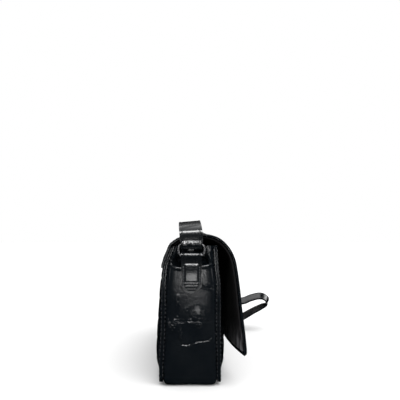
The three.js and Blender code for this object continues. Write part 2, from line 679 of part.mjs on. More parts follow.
/** The shoulder strap, on smooth curves through its route. */
function strapGeometry() {
  const route = strapRoute();
  const points = new THREE.CatmullRomCurve3(route.map((row) => row.point));
  const faces = new THREE.CatmullRomCurve3(route.map((row) => row.face));
  const stations = [];
  const last = (route.length - 1) * STRAP_STEPS;
  for (let step = 0; step <= last; step += 1) {
    const row = Math.min(Math.floor(step / STRAP_STEPS), route.length - 2);
    const share = step / STRAP_STEPS - row;
    stations.push({
      point: points.getPoint(step / last),
      face: faces.getPoint(step / last),
      half: THREE.MathUtils.lerp(route[row].half, route[row + 1].half, share),
    });
  }
  return bandGeometry(stations, STRAP_THICKNESS);
}

/** The hidden closure: one disc between the flap's lining and the front panel. */
function snapGeometry() {
  const panel = panelOuter(-1, 0, SNAP_HEIGHT).y;
  const middleLine = FLAP_LINE.map((row) => ({ drop: -row.midZ, y: row.midY }));
  const flap = lookUp(middleLine, 'drop', 'y', -shareAt(SNAP_HEIGHT)) * BODY_DEPTH;
  const lining = flap + FLAP_LEATHER + GAP + LINING;
  const thickness = panel - lining - 2 * SNAP_GAP;
  const radius = SNAP_DIAMETER / 2;
  const geometry = new THREE.CylinderGeometry(radius, radius, thickness, SNAP_SIDES);
  geometry.deleteAttribute('normal');
  geometry.deleteAttribute('uv');
  const closed = mergeVertices(geometry);
  closed.translate(0, (panel + lining) / 2, SNAP_HEIGHT);
  return closed;
}

const LEATHER_LOOK = { color: 0x0b0d0f, roughness: 0.3, metalness: 0 };
const LINING_LOOK = { color: 0x0a0a0c, roughness: 0.85, metalness: 0 };
const METAL_LOOK = { color: 0x0c0c0e, roughness: 0.25, metalness: 0.9 };

/** Named mesh with its own material. */
function piece(name, geometry, look) {
  const mesh = new THREE.Mesh(geometry, new THREE.MeshStandardMaterial(look));
  mesh.name = name;
  return mesh;
}

const bag = new THREE.Group();
bag.name = 'flap_bag';
bag.add(
  piece('back_panel', panelGeometry(1), LEATHER_LOOK),
  piece('front_panel', panelGeometry(-1), LEATHER_LOOK),
  piece('gusset', gussetGeometry(), LEATHER_LOOK),
  piece('flap', flapGeometry(), LEATHER_LOOK),
  piece('flap_lining', liningGeometry(), LINING_LOOK),
  piece('strap_tab_near', tabGeometry(-1), LEATHER_LOOK),
  piece('strap_tab_far', tabGeometry(1), LEATHER_LOOK),
  piece('ring_near', ringGeometry(-1), METAL_LOOK),
  piece('ring_far', ringGeometry(1), METAL_LOOK),
  piece('shoulder_strap', strapGeometry(), LEATHER_LOOK),
  piece('magnet_snap', snapGeometry(), METAL_LOOK),
);

export default bag;
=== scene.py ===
"""A small flap bag of glossy black embossed leather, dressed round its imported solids.

X runs along the bag, the flap's front faces -Y and Z is up. The classes below hold their sizes
in millimetres, and every mesh is made in metres.
"""

import logging
import math
from bisect import bisect_right
from collections.abc import Callable, Iterable, Sequence
from dataclasses import dataclass
from enum import Enum
from typing import NamedTuple

import bmesh
import bpy
from mathutils import Matrix, Vector, noise


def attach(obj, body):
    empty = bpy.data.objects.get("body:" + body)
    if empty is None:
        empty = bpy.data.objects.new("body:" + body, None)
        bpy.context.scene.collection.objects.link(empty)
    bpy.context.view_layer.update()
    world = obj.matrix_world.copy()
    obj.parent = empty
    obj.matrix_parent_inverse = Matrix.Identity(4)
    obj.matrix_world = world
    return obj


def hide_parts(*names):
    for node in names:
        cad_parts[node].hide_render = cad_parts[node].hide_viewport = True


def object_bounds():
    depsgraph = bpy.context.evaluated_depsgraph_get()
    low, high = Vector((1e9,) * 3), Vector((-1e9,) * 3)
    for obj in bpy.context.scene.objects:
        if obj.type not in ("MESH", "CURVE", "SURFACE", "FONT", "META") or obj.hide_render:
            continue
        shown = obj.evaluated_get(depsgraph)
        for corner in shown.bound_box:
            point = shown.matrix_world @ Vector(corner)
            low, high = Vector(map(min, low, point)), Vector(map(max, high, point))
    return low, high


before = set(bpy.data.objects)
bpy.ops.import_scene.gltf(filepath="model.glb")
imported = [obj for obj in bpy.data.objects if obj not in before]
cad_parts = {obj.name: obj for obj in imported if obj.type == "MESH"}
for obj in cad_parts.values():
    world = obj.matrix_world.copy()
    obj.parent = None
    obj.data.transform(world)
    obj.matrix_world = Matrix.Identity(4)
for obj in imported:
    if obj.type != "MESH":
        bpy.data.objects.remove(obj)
CAD_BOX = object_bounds()

LOG = logging.getLogger("flap_bag")
MM = 0.001

# Without a seed, noise vectors take their offset from the clock.
NOISE_SEED = 5

# Color sockets of a Mix node, whose names repeat for every data type.
MIX_LOW, MIX_HIGH, MIX_RESULT = 6, 7, 2

Place = Callable[[float, float], Vector]
Color = tuple[float, float, float]


class Side(Enum):
    """A long wall of the body, by the sign of its Y."""

    BACK = 1
    FRONT = -1


class End(Enum):
    """An end of the bag, by the sign of its X."""

    NEAR = -1
    FAR = 1


def ease(share: float) -> float:
    """Returns a smooth step from 0 to 1."""
    at = min(max(share, 0.0), 1.0)
    return at * at * (3 - 2 * at)


def mix(low: float, high: float, share: float) -> float:
    """Returns the value at a share of the way from low to high."""
    return low + (high - low) * share


def hump(at: float, centre: float, width: float) -> float:
    """Returns a smooth bump of height 1 round a centre."""
    return math.exp(-(((at - centre) / width) ** 2))


def smooth_between(rows: Sequence[NamedTuple], key: str, column: str, at: float) -> float:
    """Reads a table's column by a smooth curve through its rows.

    Args:
        rows: The table, in rising order of its key.
        key: Name of the column that is looked up.
        column: Name of the column that is read.
        at: Value of the key.

    Returns:
        The column's value there.
    """
    keys = [getattr(row, key) for row in rows]
    values = [getattr(row, column) for row in rows]
    low = min(max(bisect_right(keys, at) - 1, 0), len(rows) - 2)
    high = low + 1
    before = max(low - 1, 0)
    after = min(high + 1, len(rows) - 1)
    run = keys[high] - keys[low]
    start_slope = (values[high] - values[before]) / (keys[high] - keys[before])
    end_slope = (values[after] - values[low]) / (keys[after] - keys[low])
    share = min(max((at - keys[low]) / run, 0.0), 1.0)
    rise = values[high] - values[low]
    bend_in = start_slope * run - rise
    bend_out = rise - end_slope * run
    rest = 1 - share
    return mix(values[low], values[high], share) + share * rest * (bend_in * rest + bend_out * share)


class Spline:
    """A smooth curve through points, walked by its length."""

    def __init__(self, points: Sequence[Vector], steps: int = 8) -> None:
        """Traces the curve.

        Args:
            points: The points that the curve passes through.
            steps: Traced steps between two of them.
        """
        self.trail = [self._between(points, row, step / steps) for row in range(len(points) - 1)
                      for step in range(steps)]
        self.trail.append(points[-1].copy())
        self.walked = [0.0]
        for here, there in zip(self.trail, self.trail[1:]):
            self.walked.append(self.walked[-1] + (there - here).length)

    @property
    def length(self) -> float:
        """Whole length of the curve."""
        return self.walked[-1]

    @staticmethod
    def _between(points: Sequence[Vector], row: int, share: float) -> Vector:
        """Returns a point between two rows, on a centripetal curve."""
        start, end = points[row], points[row + 1]
        before = points[row - 1] if row > 0 else start * 2 - end
        after = points[row + 2] if row + 2 < len(points) else end * 2 - start
        run_in = max((start - before).length, 1e-6) ** 0.5
        run = max((end - start).length, 1e-6) ** 0.5
        run_out = max((after - end).length, 1e-6) ** 0.5
        leave = (start - before) / run_in - (end - before) / (run_in + run) + (end - start) / run
        reach = (end - start) / run - (after - start) / (run + run_out) + (after - end) / run_out
        leave, reach = leave * run, reach * run
        square, cube = share * share, share * share * share
        return (start * (2 * cube - 3 * square + 1) + leave * (cube - 2 * square + share)
                + end * (3 * square - 2 * cube) + reach * (cube - square))

    def index_at(self, walked: float) -> float:
        """Returns the place in the trail at a length walked from the start."""
        low = min(max(bisect_right(self.walked, walked) - 1, 0), len(self.trail) - 2)
        run = self.walked[low + 1] - self.walked[low]
        return low + min(max((walked - self.walked[low]) / max(run, 1e-9), 0.0), 1.0)

    def pick(self, index: float) -> Vector:
        """Returns the point at a place in the trail."""
        low = min(int(index), len(self.trail) - 2)
        return self.trail[low].lerp(self.trail[low + 1], index - low)

    def at(self, walked: float) -> Vector:
        """Returns the point at a length walked from the start."""
        return self.pick(self.index_at(walked))

    def direction(self, walked: float, reach: float = 0.4) -> Vector:
        """Returns the curve's direction at a length walked from the start."""
        return (self.at(walked + reach) - self.at(walked - reach)).normalized()


def cut_corners(line: Sequence[Vector], rounds: int) -> list[Vector]:
    """Softens the corners of an open line.

    Args:
        line: The line's points.
        rounds: How many times its corners are cut.

    Returns:
        The softened line, with the same ends.
    """
    soft = list(line)
    for _ in range(rounds):
        cut = [soft[0]]
        for here, there in zip(soft, soft[1:]):
            cut += [here.lerp(there, 0.25), here.lerp(there, 0.75)]
        soft = [*cut, soft[-1]]
    return soft


def nearest_segment(points: Sequence[tuple[float, float]], here: Vector) -> tuple[float, Vector, Vector]:
    """Finds the segment of a line that passes nearest to a place.

    Args:
        points: The line's points.
        here: The place.

    Returns:
        The distance, and the segment's start and run.
    """
    found = []
    for start, end in zip(points, points[1:]):
        first, run = Vector(start), Vector(end) - Vector(start)
        share = min(max((here - first).dot(run) / run.length_squared, 0.0), 1.0)
        found.append(((here - first - run * share).length, first, run))
    return min(found, key=lambda row: row[0])


def finish_mesh(name: str, shape: bmesh.types.BMesh, merge: float = 0.0) -> bpy.types.Object:
    """Makes an object of a shape and lets it ride with the bag.

    Args:
        name: The piece's name.
        shape: Its mesh, in metres, which is freed.
        merge: Distance within which its points are merged.

    Returns:
        The new object.
    """
    if merge:
        bmesh.ops.remove_doubles(shape, verts=shape.verts, dist=merge)
    data = bpy.data.meshes.new(name)
    shape.to_mesh(data)
    shape.free()
    data.shade_smooth()
    piece = bpy.data.objects.new(name, data)
    bpy.context.scene.collection.objects.link(piece)
    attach(piece, "root")
    LOG.info("%s: %d faces", name, len(data.polygons))
    return piece


def sheet(name: str, columns: int, rows: int, place: Place, outward: Vector | None = None,
          merge: float = 0.0) -> bpy.types.Object:
    """Moves a flat grid onto a surface.

    Args:
        name: The piece's name.
        columns: Faces along the surface's first share.
        rows: Faces along its second share.
        place: Gives the point in millimetres at two shares from 0 to 1.
        outward: Direction that the faces look along on the whole, or none for a surface that
            turns round the bag's middle.
        merge: Distance in metres within which points are merged.

    Returns:
        The new object.
    """
    shape = bmesh.new()
    shape.loops.layers.uv.new("UVMap")
    bmesh.ops.create_grid(shape, x_segments=columns, y_segments=rows, size=0.5, calc_uvs=True)
    for vert in shape.verts:
        vert.co = place(vert.co.x + 0.5, vert.co.y + 0.5) * MM
    shape.normal_update()
    middle = Vector((0, 0, (CAD_BOX[0].z + CAD_BOX[1].z) / 2))
    facing = 0.0
    for face in shape.faces:
        away = outward or face.calc_center_median() - middle
        facing += face.calc_area() * face.normal.dot(away)
    if facing < 0:
        bmesh.ops.reverse_faces(shape, faces=shape.faces)
    return finish_mesh(name, shape, merge)


def thicken(piece: bpy.types.Object, thickness: float, offset: float = -1.0, rim: float = 0.45) -> None:
    """Gives a sheet of leather its thickness and softened rims.

    Args:
        piece: The sheet.
        thickness: Its thickness in millimetres.
        offset: -1 to keep the outer face where it is, 0 to keep the middle.
        rim: Rounding of the rims in millimetres.
    """
    wall = piece.modifiers.new("thickness", "SOLIDIFY")
    wall.thickness = thickness * MM
    wall.offset = offset
    edge = piece.modifiers.new("rims", "BEVEL")
    edge.width = rim * MM
    edge.segments = 3
    edge.limit_method = "ANGLE"
    edge.angle_limit = math.radians(65)


class SeamRow(NamedTuple):
    """Distance of both long seams from the middle plane, as shares of half the depth."""

    height: float
    back: float
    front: float


class BulgeRow(NamedTuple):
    """Share of a panel's bulge at a height."""

    height: float
    bulge: float


class FlapRow(NamedTuple):
    """Flap's outer line: y as a share of the depth and z as a height."""

    end_y: float
    end_z: float
    mid_y: float
    mid_z: float


class EdgeRow(NamedTuple):
    """Gusset's section beside a seam, in leather thicknesses and fills."""

    beside: float
    out: float


@dataclass(frozen=True)
class BagForm:
    """Sizes of the bag and the lines that its pieces share.

    A height in a table is a share of the panel's height, counted from the panel's foot.
    """

    length: float = 220.0
    panel_height: float = 139.0
    depth: float = 60.0
    leather: float = 1.5
    seam_width: float = 3.2
    fill: float = 5.2
    foot_radius: float = 3.0
    back_drop: float = 1.0
    front_sag: float = 1.5
    bulge: float = 6.0
    bulge_ease_x: float = 32.0
    bulge_ease_z: float = 14.0
    gap: float = 0.3
    flap_length: float = 219.0
    flap_leather: float = 2.2
    flap_lap: float = 22.45
    flap_turn: float = 1.5
    flap_corner: float = 5.0
    flare_power: float = 2.2
    seams: tuple[SeamRow, ...] = (
        SeamRow(0.0, 1.0, 0.97), SeamRow(0.15, 0.99, 0.962), SeamRow(0.4, 0.927, 0.943),
        SeamRow(0.72, 0.903, 0.943), SeamRow(0.81, 0.872, 0.9), SeamRow(0.86, 0.835, 0.875),
        SeamRow(1.0, 0.58, 0.84), SeamRow(1.03, 0.52, 0.835),
    )
    bulges: tuple[BulgeRow, ...] = (
        BulgeRow(0.0, 0.75), BulgeRow(0.3, 1.0), BulgeRow(0.45, 0.95), BulgeRow(0.65, 0.7),
        BulgeRow(0.85, 0.35), BulgeRow(1.03, 0.2),
    )
    flap_line: tuple[FlapRow, ...] = (
        FlapRow(0.272, 1.041, 0.292, 1.02), FlapRow(0.197, 1.06, 0.2, 1.033),
        FlapRow(0.05, 1.082, 0.05, 1.042), FlapRow(-0.1, 1.089, -0.1, 1.044),
        FlapRow(-0.225, 1.087, -0.225, 1.042), FlapRow(-0.357, 1.077, -0.342, 1.037),
        FlapRow(-0.477, 1.057, -0.45, 1.028), FlapRow(-0.58, 1.023, -0.545, 1.006),
        FlapRow(-0.682, 0.969, -0.617, 0.968), FlapRow(-0.755, 0.897, -0.665, 0.897),
        FlapRow(-0.787, 0.829, -0.685, 0.829), FlapRow(-0.834, 0.683, -0.702, 0.683),
        FlapRow(-0.865, 0.552, -0.712, 0.552), FlapRow(-0.904, 0.417, -0.718, 0.417),
        FlapRow(-0.934, 0.3, -0.717, 0.3), FlapRow(-0.944, 0.25, -0.715, 0.25),
        FlapRow(-0.944, 0.222, -0.713, 0.222), FlapRow(-0.939, 0.202, -0.711, 0.205),
    )

    @property
    def end_face(self) -> float:
        """Distance of an end wall's face from the bag's middle."""
        return self.length / 2

    @property
    def root(self) -> float:
        """Distance of a seam's root from an end wall's face."""
        return self.fill + self.leather / 2

    @property
    def panel_half(self) -> float:
        """Half length of a panel."""
        return self.end_face - self.root + self.seam_width

    @property
    def panel_foot(self) -> float:
        """Height of a panel's lower edge above the floor."""
        return self.root - self.seam_width

    @property
    def panel_top(self) -> float:
        """Height of the front panel's top at its ends."""
        return self.panel_foot + self.panel_height

    def share_at(self, z: float) -> float:
        """Returns the share of the panel's height at a height above the floor."""
        return (z - self.panel_foot) / self.panel_height

    def height_at(self, share: float) -> float:
        """Returns the height above the floor at a share of the panel's height."""
        return self.panel_foot + share * self.panel_height

    def seam_distance(self, side: Side, z: float) -> float:
        """Returns a seam's distance from the bag's middle plane at a height."""
        column = "back" if side is Side.BACK else "front"
        return self.depth / 2 * smooth_between(self.seams, "height", column, self.share_at(z))

    def bulge_at(self, x: float, z: float) -> float:
        """Returns how far a panel stands out past its seam at a place."""
        from_end = ease((self.panel_half - abs(x) - self.seam_width) / self.bulge_ease_x)
        from_foot = ease((z - self.panel_foot - self.seam_width) / self.bulge_ease_z)
        share = smooth_between(self.bulges, "height", "bulge", self.share_at(z))
        return self.bulge * from_end * from_foot * share

    def panel_point(self, side: Side, x: float, z: float) -> Vector:
        """Returns the point of a panel's outer face at a place."""
        y = self.seam_distance(side, z) + self.gap / 2 + self.leather + self.bulge_at(x, z)
        return Vector((x, side.value * y, z))

    def flap_profile(self, x: float) -> Spline:
        """Traces the flap's outer face across the bag, from its sewn edge to the hem.

        Args:
            x: Place along the bag.

        Returns:
            The curve, with its points at that x.
        """
        points = []
        top = self.panel_top - self.back_drop + self.flap_turn
        for share in (0.0, 0.33, 0.66, 1.0):
            z = mix(self.panel_top - self.flap_lap, top, share)
            here = self.panel_point(Side.BACK, x, z)
            rise = self.panel_point(Side.BACK, x, z + 1) - here
            outward = Vector((0, rise.z, -rise.y)).normalized()
            points.append(here + outward * (self.gap + self.flap_leather))
        flare = abs(x / (self.flap_length / 2)) ** self.flare_power
        for row in self.flap_line:
            y = self.depth * mix(row.mid_y, row.end_y, flare)
            points.append(Vector((x, y, self.height_at(mix(row.mid_z, row.end_z, flare)))))
        return Spline(points, steps=6)


@dataclass(frozen=True)
class Embossing:
    """Rows of raised plates pressed into leather, as depths in millimetres below its plain face."""

    plate_length: float = 31.0
    row_height: float = 21.0
    groove: float = 1.0
    depth: float = 0.55
    shoulder: float = 3.2
    crown: float = 0.45
    lift: float = 0.55
    wander: float = 4.5
    wander_span: float = 36.0
    seed: float = 0.0

    def _gap(self, place: float, size: float) -> float:
        """Returns the distance from the nearest edge of a row or plate."""
        share = place - math.floor(place)
        return min(share, 1 - share) * size

    def sink(self, along: float, up: float) -> float:
        """Works out how deep the leather lies at a place.

        Args:
            along: Distance along the rows.
            up: Distance across the rows.

        Returns:
            The depth below the plain face, negative where a plate stands out.
        """
        drift = noise.noise_vector(Vector((along, up, self.seed)) / self.wander_span) * self.wander
        row_place = (up + drift.y) / self.row_height
        row = math.floor(row_place)
        jitter = noise.noise(Vector((row * 3.7, self.seed + 0.4, 1.3)))
        length = self.plate_length * (1 + 0.35 * jitter)
        column_place = (along + drift.x) / length + 0.5 * (row % 2) + 0.6 * jitter
        row_gap = self._gap(row_place, self.row_height)
        column_gap = self._gap(column_place, length)
        gap = min(row_gap, column_gap)
        corner = math.hypot(max(self.shoulder - row_gap, 0), max(self.shoulder - column_gap, 0))
        rounded = min(gap, max(self.shoulder - corner, 0) if corner > self.shoulder else gap)
        valley = math.exp(-((rounded / self.groove) ** 2))
        return self.depth * valley + self.crown * math.exp(-rounded / self.shoulder) - self.lift


@dataclass(frozen=True)
class Crease:
    """A pressed line on an end wall, through points of (y, z) in millimetres."""

    points: tuple[tuple[float, float], ...]
    depth: float = 0.6
    width: float = 0.8
    lip: float = 0.3

    def sink(self, y: float, z: float) -> float:
        """Returns how deep the line presses the leather at a place."""
        nearest, _, _ = nearest_segment(self.points, Vector((y, z)))
        worn = 0.45 + 1.5 * abs(noise.noise(Vector((y * 0.17, z * 0.17, 5.0))))
        groove = self.depth * hump(nearest, 0, self.width)
        lips = self.lip * hump(nearest, 2 * self.width, self.width)
        return (groove - lips) * worn


@dataclass(frozen=True)
class Hollow:
    """A pressed-in part of an end wall, open at the top, with a rolled lip."""

    rim: tuple[tuple[float, float], ...]
    depth: float = 13.0
    run: float = 13.0
    lip: float = 0.8
    lip_width: float = 1.3

    def sink(self, y: float, z: float) -> float:
        """Works out how deep the wall lies at a place.

        Args:
            y: Place across the wall.
            z: Height above the floor.

        Returns:
            The depth below the plain wall, negative on the lip.
        """
        nearest, first, run = nearest_segment(self.rim, Vector((y, z)))
        side = 1.0 if run.x * (z - first.y) - run.y * (y - first.x) < 0 else -1.0
        away = side * nearest
        rest = 1 - min(max(away / self.run, 0.0), 1.0)
        return self.depth * (1 - rest**2.2) - self.lip * hump(away, -0.5, self.lip_width)


@dataclass(frozen=True)
class Swell:
    """A soft swelling of an end wall."""

    y: float
    z: float
    half_width: float
    half_height: float
    height: float

    def rise(self, y: float, z: float) -> float:
        """Returns how far the wall swells out at a place."""
        return self.height * hump(y, self.y, self.half_width) * hump(z, self.z, self.half_height)


class Wire:
    """A socket that adds Math nodes when it stands in an expression."""

    def __init__(self, graph: "Graph", socket: bpy.types.NodeSocket) -> None:
        """Wraps a socket of a graph."""
        self.graph = graph
        self.socket = socket

    def math(self, operation: str, *others: "Wire | float", swapped: bool = False) -> "Wire":
        """Adds one Math node.

        Args:
            operation: The node's operation.
            others: The other operands.
            swapped: Whether this socket comes second.

        Returns:
            The node's result.
        """
        terms: list[Wire | float] = [self, *others]
        if swapped:
            terms.reverse()
        return self.graph.node("ShaderNodeMath", {"operation": operation}, dict(enumerate(terms)))

    def __add__(self, other: "Wire | float") -> "Wire":
        """Returns the sum."""
        return self.math("ADD", other)

    def __radd__(self, other: "Wire | float") -> "Wire":
        """Returns the sum."""
        return self.math("ADD", other)

    def __sub__(self, other: "Wire | float") -> "Wire":
        """Returns the difference."""
        return self.math("SUBTRACT", other)

    def __rsub__(self, other: "Wire | float") -> "Wire":
        """Returns the difference, from the other value."""
        return self.math("SUBTRACT", other, swapped=True)

    def __mul__(self, other: "Wire | float") -> "Wire":
        """Returns the product."""
        return self.math("MULTIPLY", other)

    def __rmul__(self, other: "Wire | float") -> "Wire":
        """Returns the product."""
        return self.math("MULTIPLY", other)

    def __truediv__(self, other: "Wire | float") -> "Wire":
        """Returns the quotient."""
        return self.math("DIVIDE", other)

    def __pow__(self, other: "Wire | float") -> "Wire":
        """Returns the power."""
        return self.math("POWER", other)

    def between(self, low: float, high: float) -> "Wire":
        """Returns a smooth step from 0 at low to 1 at high."""
        settings = {"interpolation_type": "SMOOTHSTEP"}
        sockets = {"Value": self, "From Min": low, "From Max": high}
        return self.graph.node("ShaderNodeMapRange", settings, sockets)


class Graph:
    """A material's nodes."""

    def __init__(self, name: str) -> None:
        """Makes an empty material with a principled surface."""
        self.material = bpy.data.materials.new(name)
        self.material.use_nodes = True
        self.tree = self.material.node_tree
        self.surface = self.tree.nodes["Principled BSDF"]

    def node(self, kind: str, settings: dict | None = None, inputs: dict | None = None,
             output: int | str = 0) -> Wire:
        """Adds a node.

        Args:
            kind: The node's type.
            settings: Its own settings, and the stops of a ramp.
            inputs: Values or wires for its sockets.
            output: The socket that is given back.

        Returns:
            The output, wrapped.
        """
        made = self.tree.nodes.new(kind)
        for key, value in (settings or {}).items():
            if key == "stops":
                ramp = made.color_ramp
                while len(ramp.elements) < len(value):
                    ramp.elements.new(1.0)
                for element, (position, shade) in zip(ramp.elements, value):
                    element.position = position
                    element.color = shade
            else:
                setattr(made, key, value)
        for key, value in (inputs or {}).items():
            self.feed(made.inputs[key], value)
        return Wire(self, made.outputs[output])

    def feed(self, socket: bpy.types.NodeSocket, value: "Wire | float | Sequence[float]") -> None:
        """Links a wire to a socket, or sets the socket's value."""
        if isinstance(value, Wire):
            self.tree.links.new(value.socket, socket)
        else:
            socket.default_value = value

    def set(self, **values: "Wire | float | Sequence[float]") -> None:
        """Feeds the surface's sockets, named with underscores for spaces."""
        for key, value in values.items():
            self.feed(self.surface.inputs[key.replace("_", " ")], value)

    def place(self) -> Wire:
        """Returns the object coordinates."""
        return self.node("ShaderNodeTexCoord", output="Object")

    def axis(self, letter: str) -> Wire:
        """Returns one of the object coordinates."""
        return self.node("ShaderNodeSeparateXYZ", None, {"Vector": self.place()}, letter)

    def stretched(self, x: float, y: float, z: float) -> Wire:
        """Returns the object coordinates multiplied along each axis."""
        sockets = {0: self.place(), 1: (x, y, z)}
        return self.node("ShaderNodeVectorMath", {"operation": "MULTIPLY"}, sockets)

    def clouds(self, scale: float, detail: float = 2.0, roughness: float = 0.5,
               vector: Wire | None = None) -> Wire:
        """Returns a noise of a scale per metre."""
        sockets = {"Vector": vector or self.place(), "Scale": scale, "Detail": detail,
                   "Roughness": roughness}
        return self.node("ShaderNodeTexNoise", None, sockets, "Fac")

    def pebbles(self, scale: float, vector: Wire | None = None) -> Wire:
        """Returns the soft distance from the nearest pebble's centre."""
        sockets = {"Vector": vector or self.place(), "Scale": scale, "Smoothness": 0.35}
        return self.node("ShaderNodeTexVoronoi", {"feature": "SMOOTH_F1"}, sockets, "Distance")

    def bump(self, height: Wire, distance: float, strength: float = 1.0, below: Wire | None = None) -> Wire:
        """Returns a normal that is bent by a height, over another normal where one is given."""
        sockets: dict = {"Height": height, "Distance": distance, "Strength": strength}
        if below is not None:
            sockets["Normal"] = below
        return self.node("ShaderNodeBump", None, sockets, "Normal")

    def blend(self, share: Wire, low: Color, high: Color) -> Wire:
        """Returns a color between two by a share."""
        mixed = self.tree.nodes.new("ShaderNodeMix")
        mixed.data_type = "RGBA"
        self.feed(mixed.inputs["Factor"], share)
        self.feed(mixed.inputs[MIX_LOW], (*low, 1))
        self.feed(mixed.inputs[MIX_HIGH], (*high, 1))
        return Wire(self, mixed.outputs[MIX_RESULT])


@dataclass(frozen=True)
class GrainSpot:
    """A place on the end walls or tabs where the grain stands up, in millimetres."""

    y: float
    z: float
    half_width: float
    half_height: float
    squareness: float = 2.0
    strength: float = 1.0


@dataclass(frozen=True)
class PatentLeather:
    """Glossy pressed leather with a fine grain that comes and goes."""

    name: str
    spots: tuple[GrainSpot, ...]
    plain_grain: float = 0.07
    spot_roughness: float = 0.17
    spot_raggedness: float = 1.4
    color: Color = (0.0032, 0.0046, 0.0062)
    worn_color: Color = (0.005, 0.0066, 0.0082)
    roughness: float = 0.13
    roughness_range: float = 0.12
    grain: float = 500.0
    grain_depth: float = 0.0007
    ripple: float = 120.0
    ripple_depth: float = 0.00012
    coat: float = 0.12
    coat_roughness: float = 0.06
    specular: float = 0.36

    def _raised(self, graph: Graph) -> Wire:
        """Returns how far the grain stands up in the spots, and nothing elsewhere."""
        edges = graph.clouds(260.0, 3.0) - 0.5
        raised = []
        for spot in self.spots:
            aside = (graph.axis("Y") - spot.y * MM) / (spot.half_width * MM)
            above = (graph.axis("Z") - spot.z * MM) / (spot.half_height * MM)
            away = aside.math("ABSOLUTE") ** spot.squareness + above.math("ABSOLUTE") ** spot.squareness
            ragged = away + self.spot_raggedness * edges
            raised.append(spot.strength * (1.0 - ragged.between(0.1, 1.25)))
        return sum(raised)

    def material(self) -> bpy.types.Material:
        """Builds the leather's material."""
        graph = Graph(self.name)
        patches = graph.clouds(28.0, 3.0).between(0.38, 0.66)
        pores = graph.pebbles(self.grain)
        fine = graph.clouds(self.grain * 2.2, 3.0, 0.6)
        ripples = graph.clouds(self.ripple, 3.0, 0.55)
        soft = graph.bump(ripples, self.ripple_depth, 0.6)
        raised = self._raised(graph)
        grain = (pores * 0.8 + fine * 0.4) * (raised + self.plain_grain * (0.4 + 0.6 * patches))
        matte = self.roughness + self.roughness_range * patches * fine
        standing = raised.math("MINIMUM", 1.0)
        graph.set(
            Base_Color=graph.blend(patches, self.color, self.worn_color),
            Roughness=matte * (1.0 - standing) + self.spot_roughness * standing,
            Specular_IOR_Level=self.specular,
            Coat_Weight=self.coat,
            Coat_Roughness=self.coat_roughness,
            Normal=graph.bump(grain, self.grain_depth, 1.0, soft),
        )
        return graph.material


@dataclass(frozen=True)
class MatteLining:
    """Matte lining leather, with light streaks towards the hem painted in as a sheen."""

    name: str = "matte_lining"
    color: Color = (0.0035, 0.0028, 0.0046)
    # The streaks' light colour is a painted sheen, standing in for light that the lining catches near the
    # hem.
    painted_sheen_color: Color = (0.24, 0.235, 0.25)
    roughness: float = 0.78
    streaks_from: float = 34.0
    streaks_to: float = 66.0

    def material(self) -> bpy.types.Material:
        """Builds the lining's material."""
        graph = Graph(self.name)
        nap = graph.clouds(900.0, 3.0, 0.7)
        streaks = graph.clouds(1.0, 4.0, 0.6, graph.stretched(420.0, 420.0, 26.0)).between(0.42, 0.68)
        towards_hem = 1.0 - graph.axis("Z").between(self.streaks_from * MM, self.streaks_to * MM)
        # Painted sheen: light streaks towards the hem, put into the colour; the lower roughness there is
        # real.
        painted_sheen = streaks * towards_hem
        graph.set(
            Base_Color=graph.blend(painted_sheen, self.color, self.painted_sheen_color),
            Roughness=self.roughness - 0.2 * painted_sheen,
            Specular_IOR_Level=0.3,
            Normal=graph.bump(nap, 0.0001, 0.7),
        )
        return graph.material


@dataclass(frozen=True)
class BlackMetal:
    """Glossy black plating with a faint haze."""

    name: str = "black_metal"
    color: Color = (0.16, 0.16, 0.165)
    hazed_color: Color = (0.24, 0.24, 0.25)

    def material(self) -> bpy.types.Material:
        """Builds the plating's material."""
        graph = Graph(self.name)
        haze = graph.clouds(240.0, 4.0, 0.6).between(0.4, 0.75)
        graph.set(
            Base_Color=graph.blend(haze, self.color, self.hazed_color),
            Metallic=0.85,
            Roughness=0.16 + 0.16 * haze,
            Normal=graph.bump(graph.clouds(1500.0, 2.0), 0.00003, 0.4),
        )
        return graph.material


@dataclass(frozen=True)
class Thread:
    """Waxed sewing thread, with painted highlights in fine flecks."""

    name: str = "waxed_thread"
    color: Color = (0.016, 0.017, 0.019)
    # Painted highlight colour, mixed into the thread in fine flecks.
    painted_glint_color: Color = (0.15, 0.155, 0.165)

    def material(self) -> bpy.types.Material:
        """Builds the thread's material."""
        graph = Graph(self.name)
        # The fine noise gives the thread's twist in its bump and roughness, and places the painted
        # highlights in its colour.
        twist_and_glint = graph.clouds(2600.0, 2.0)
        graph.set(
            Base_Color=graph.blend(twist_and_glint, self.color, self.painted_glint_color),
            Roughness=0.16 + 0.2 * twist_and_glint,
            Coat_Weight=0.8,
            Coat_Roughness=0.12,
            Normal=graph.bump(twist_and_glint, 0.0001, 0.8),
        )
        return graph.material


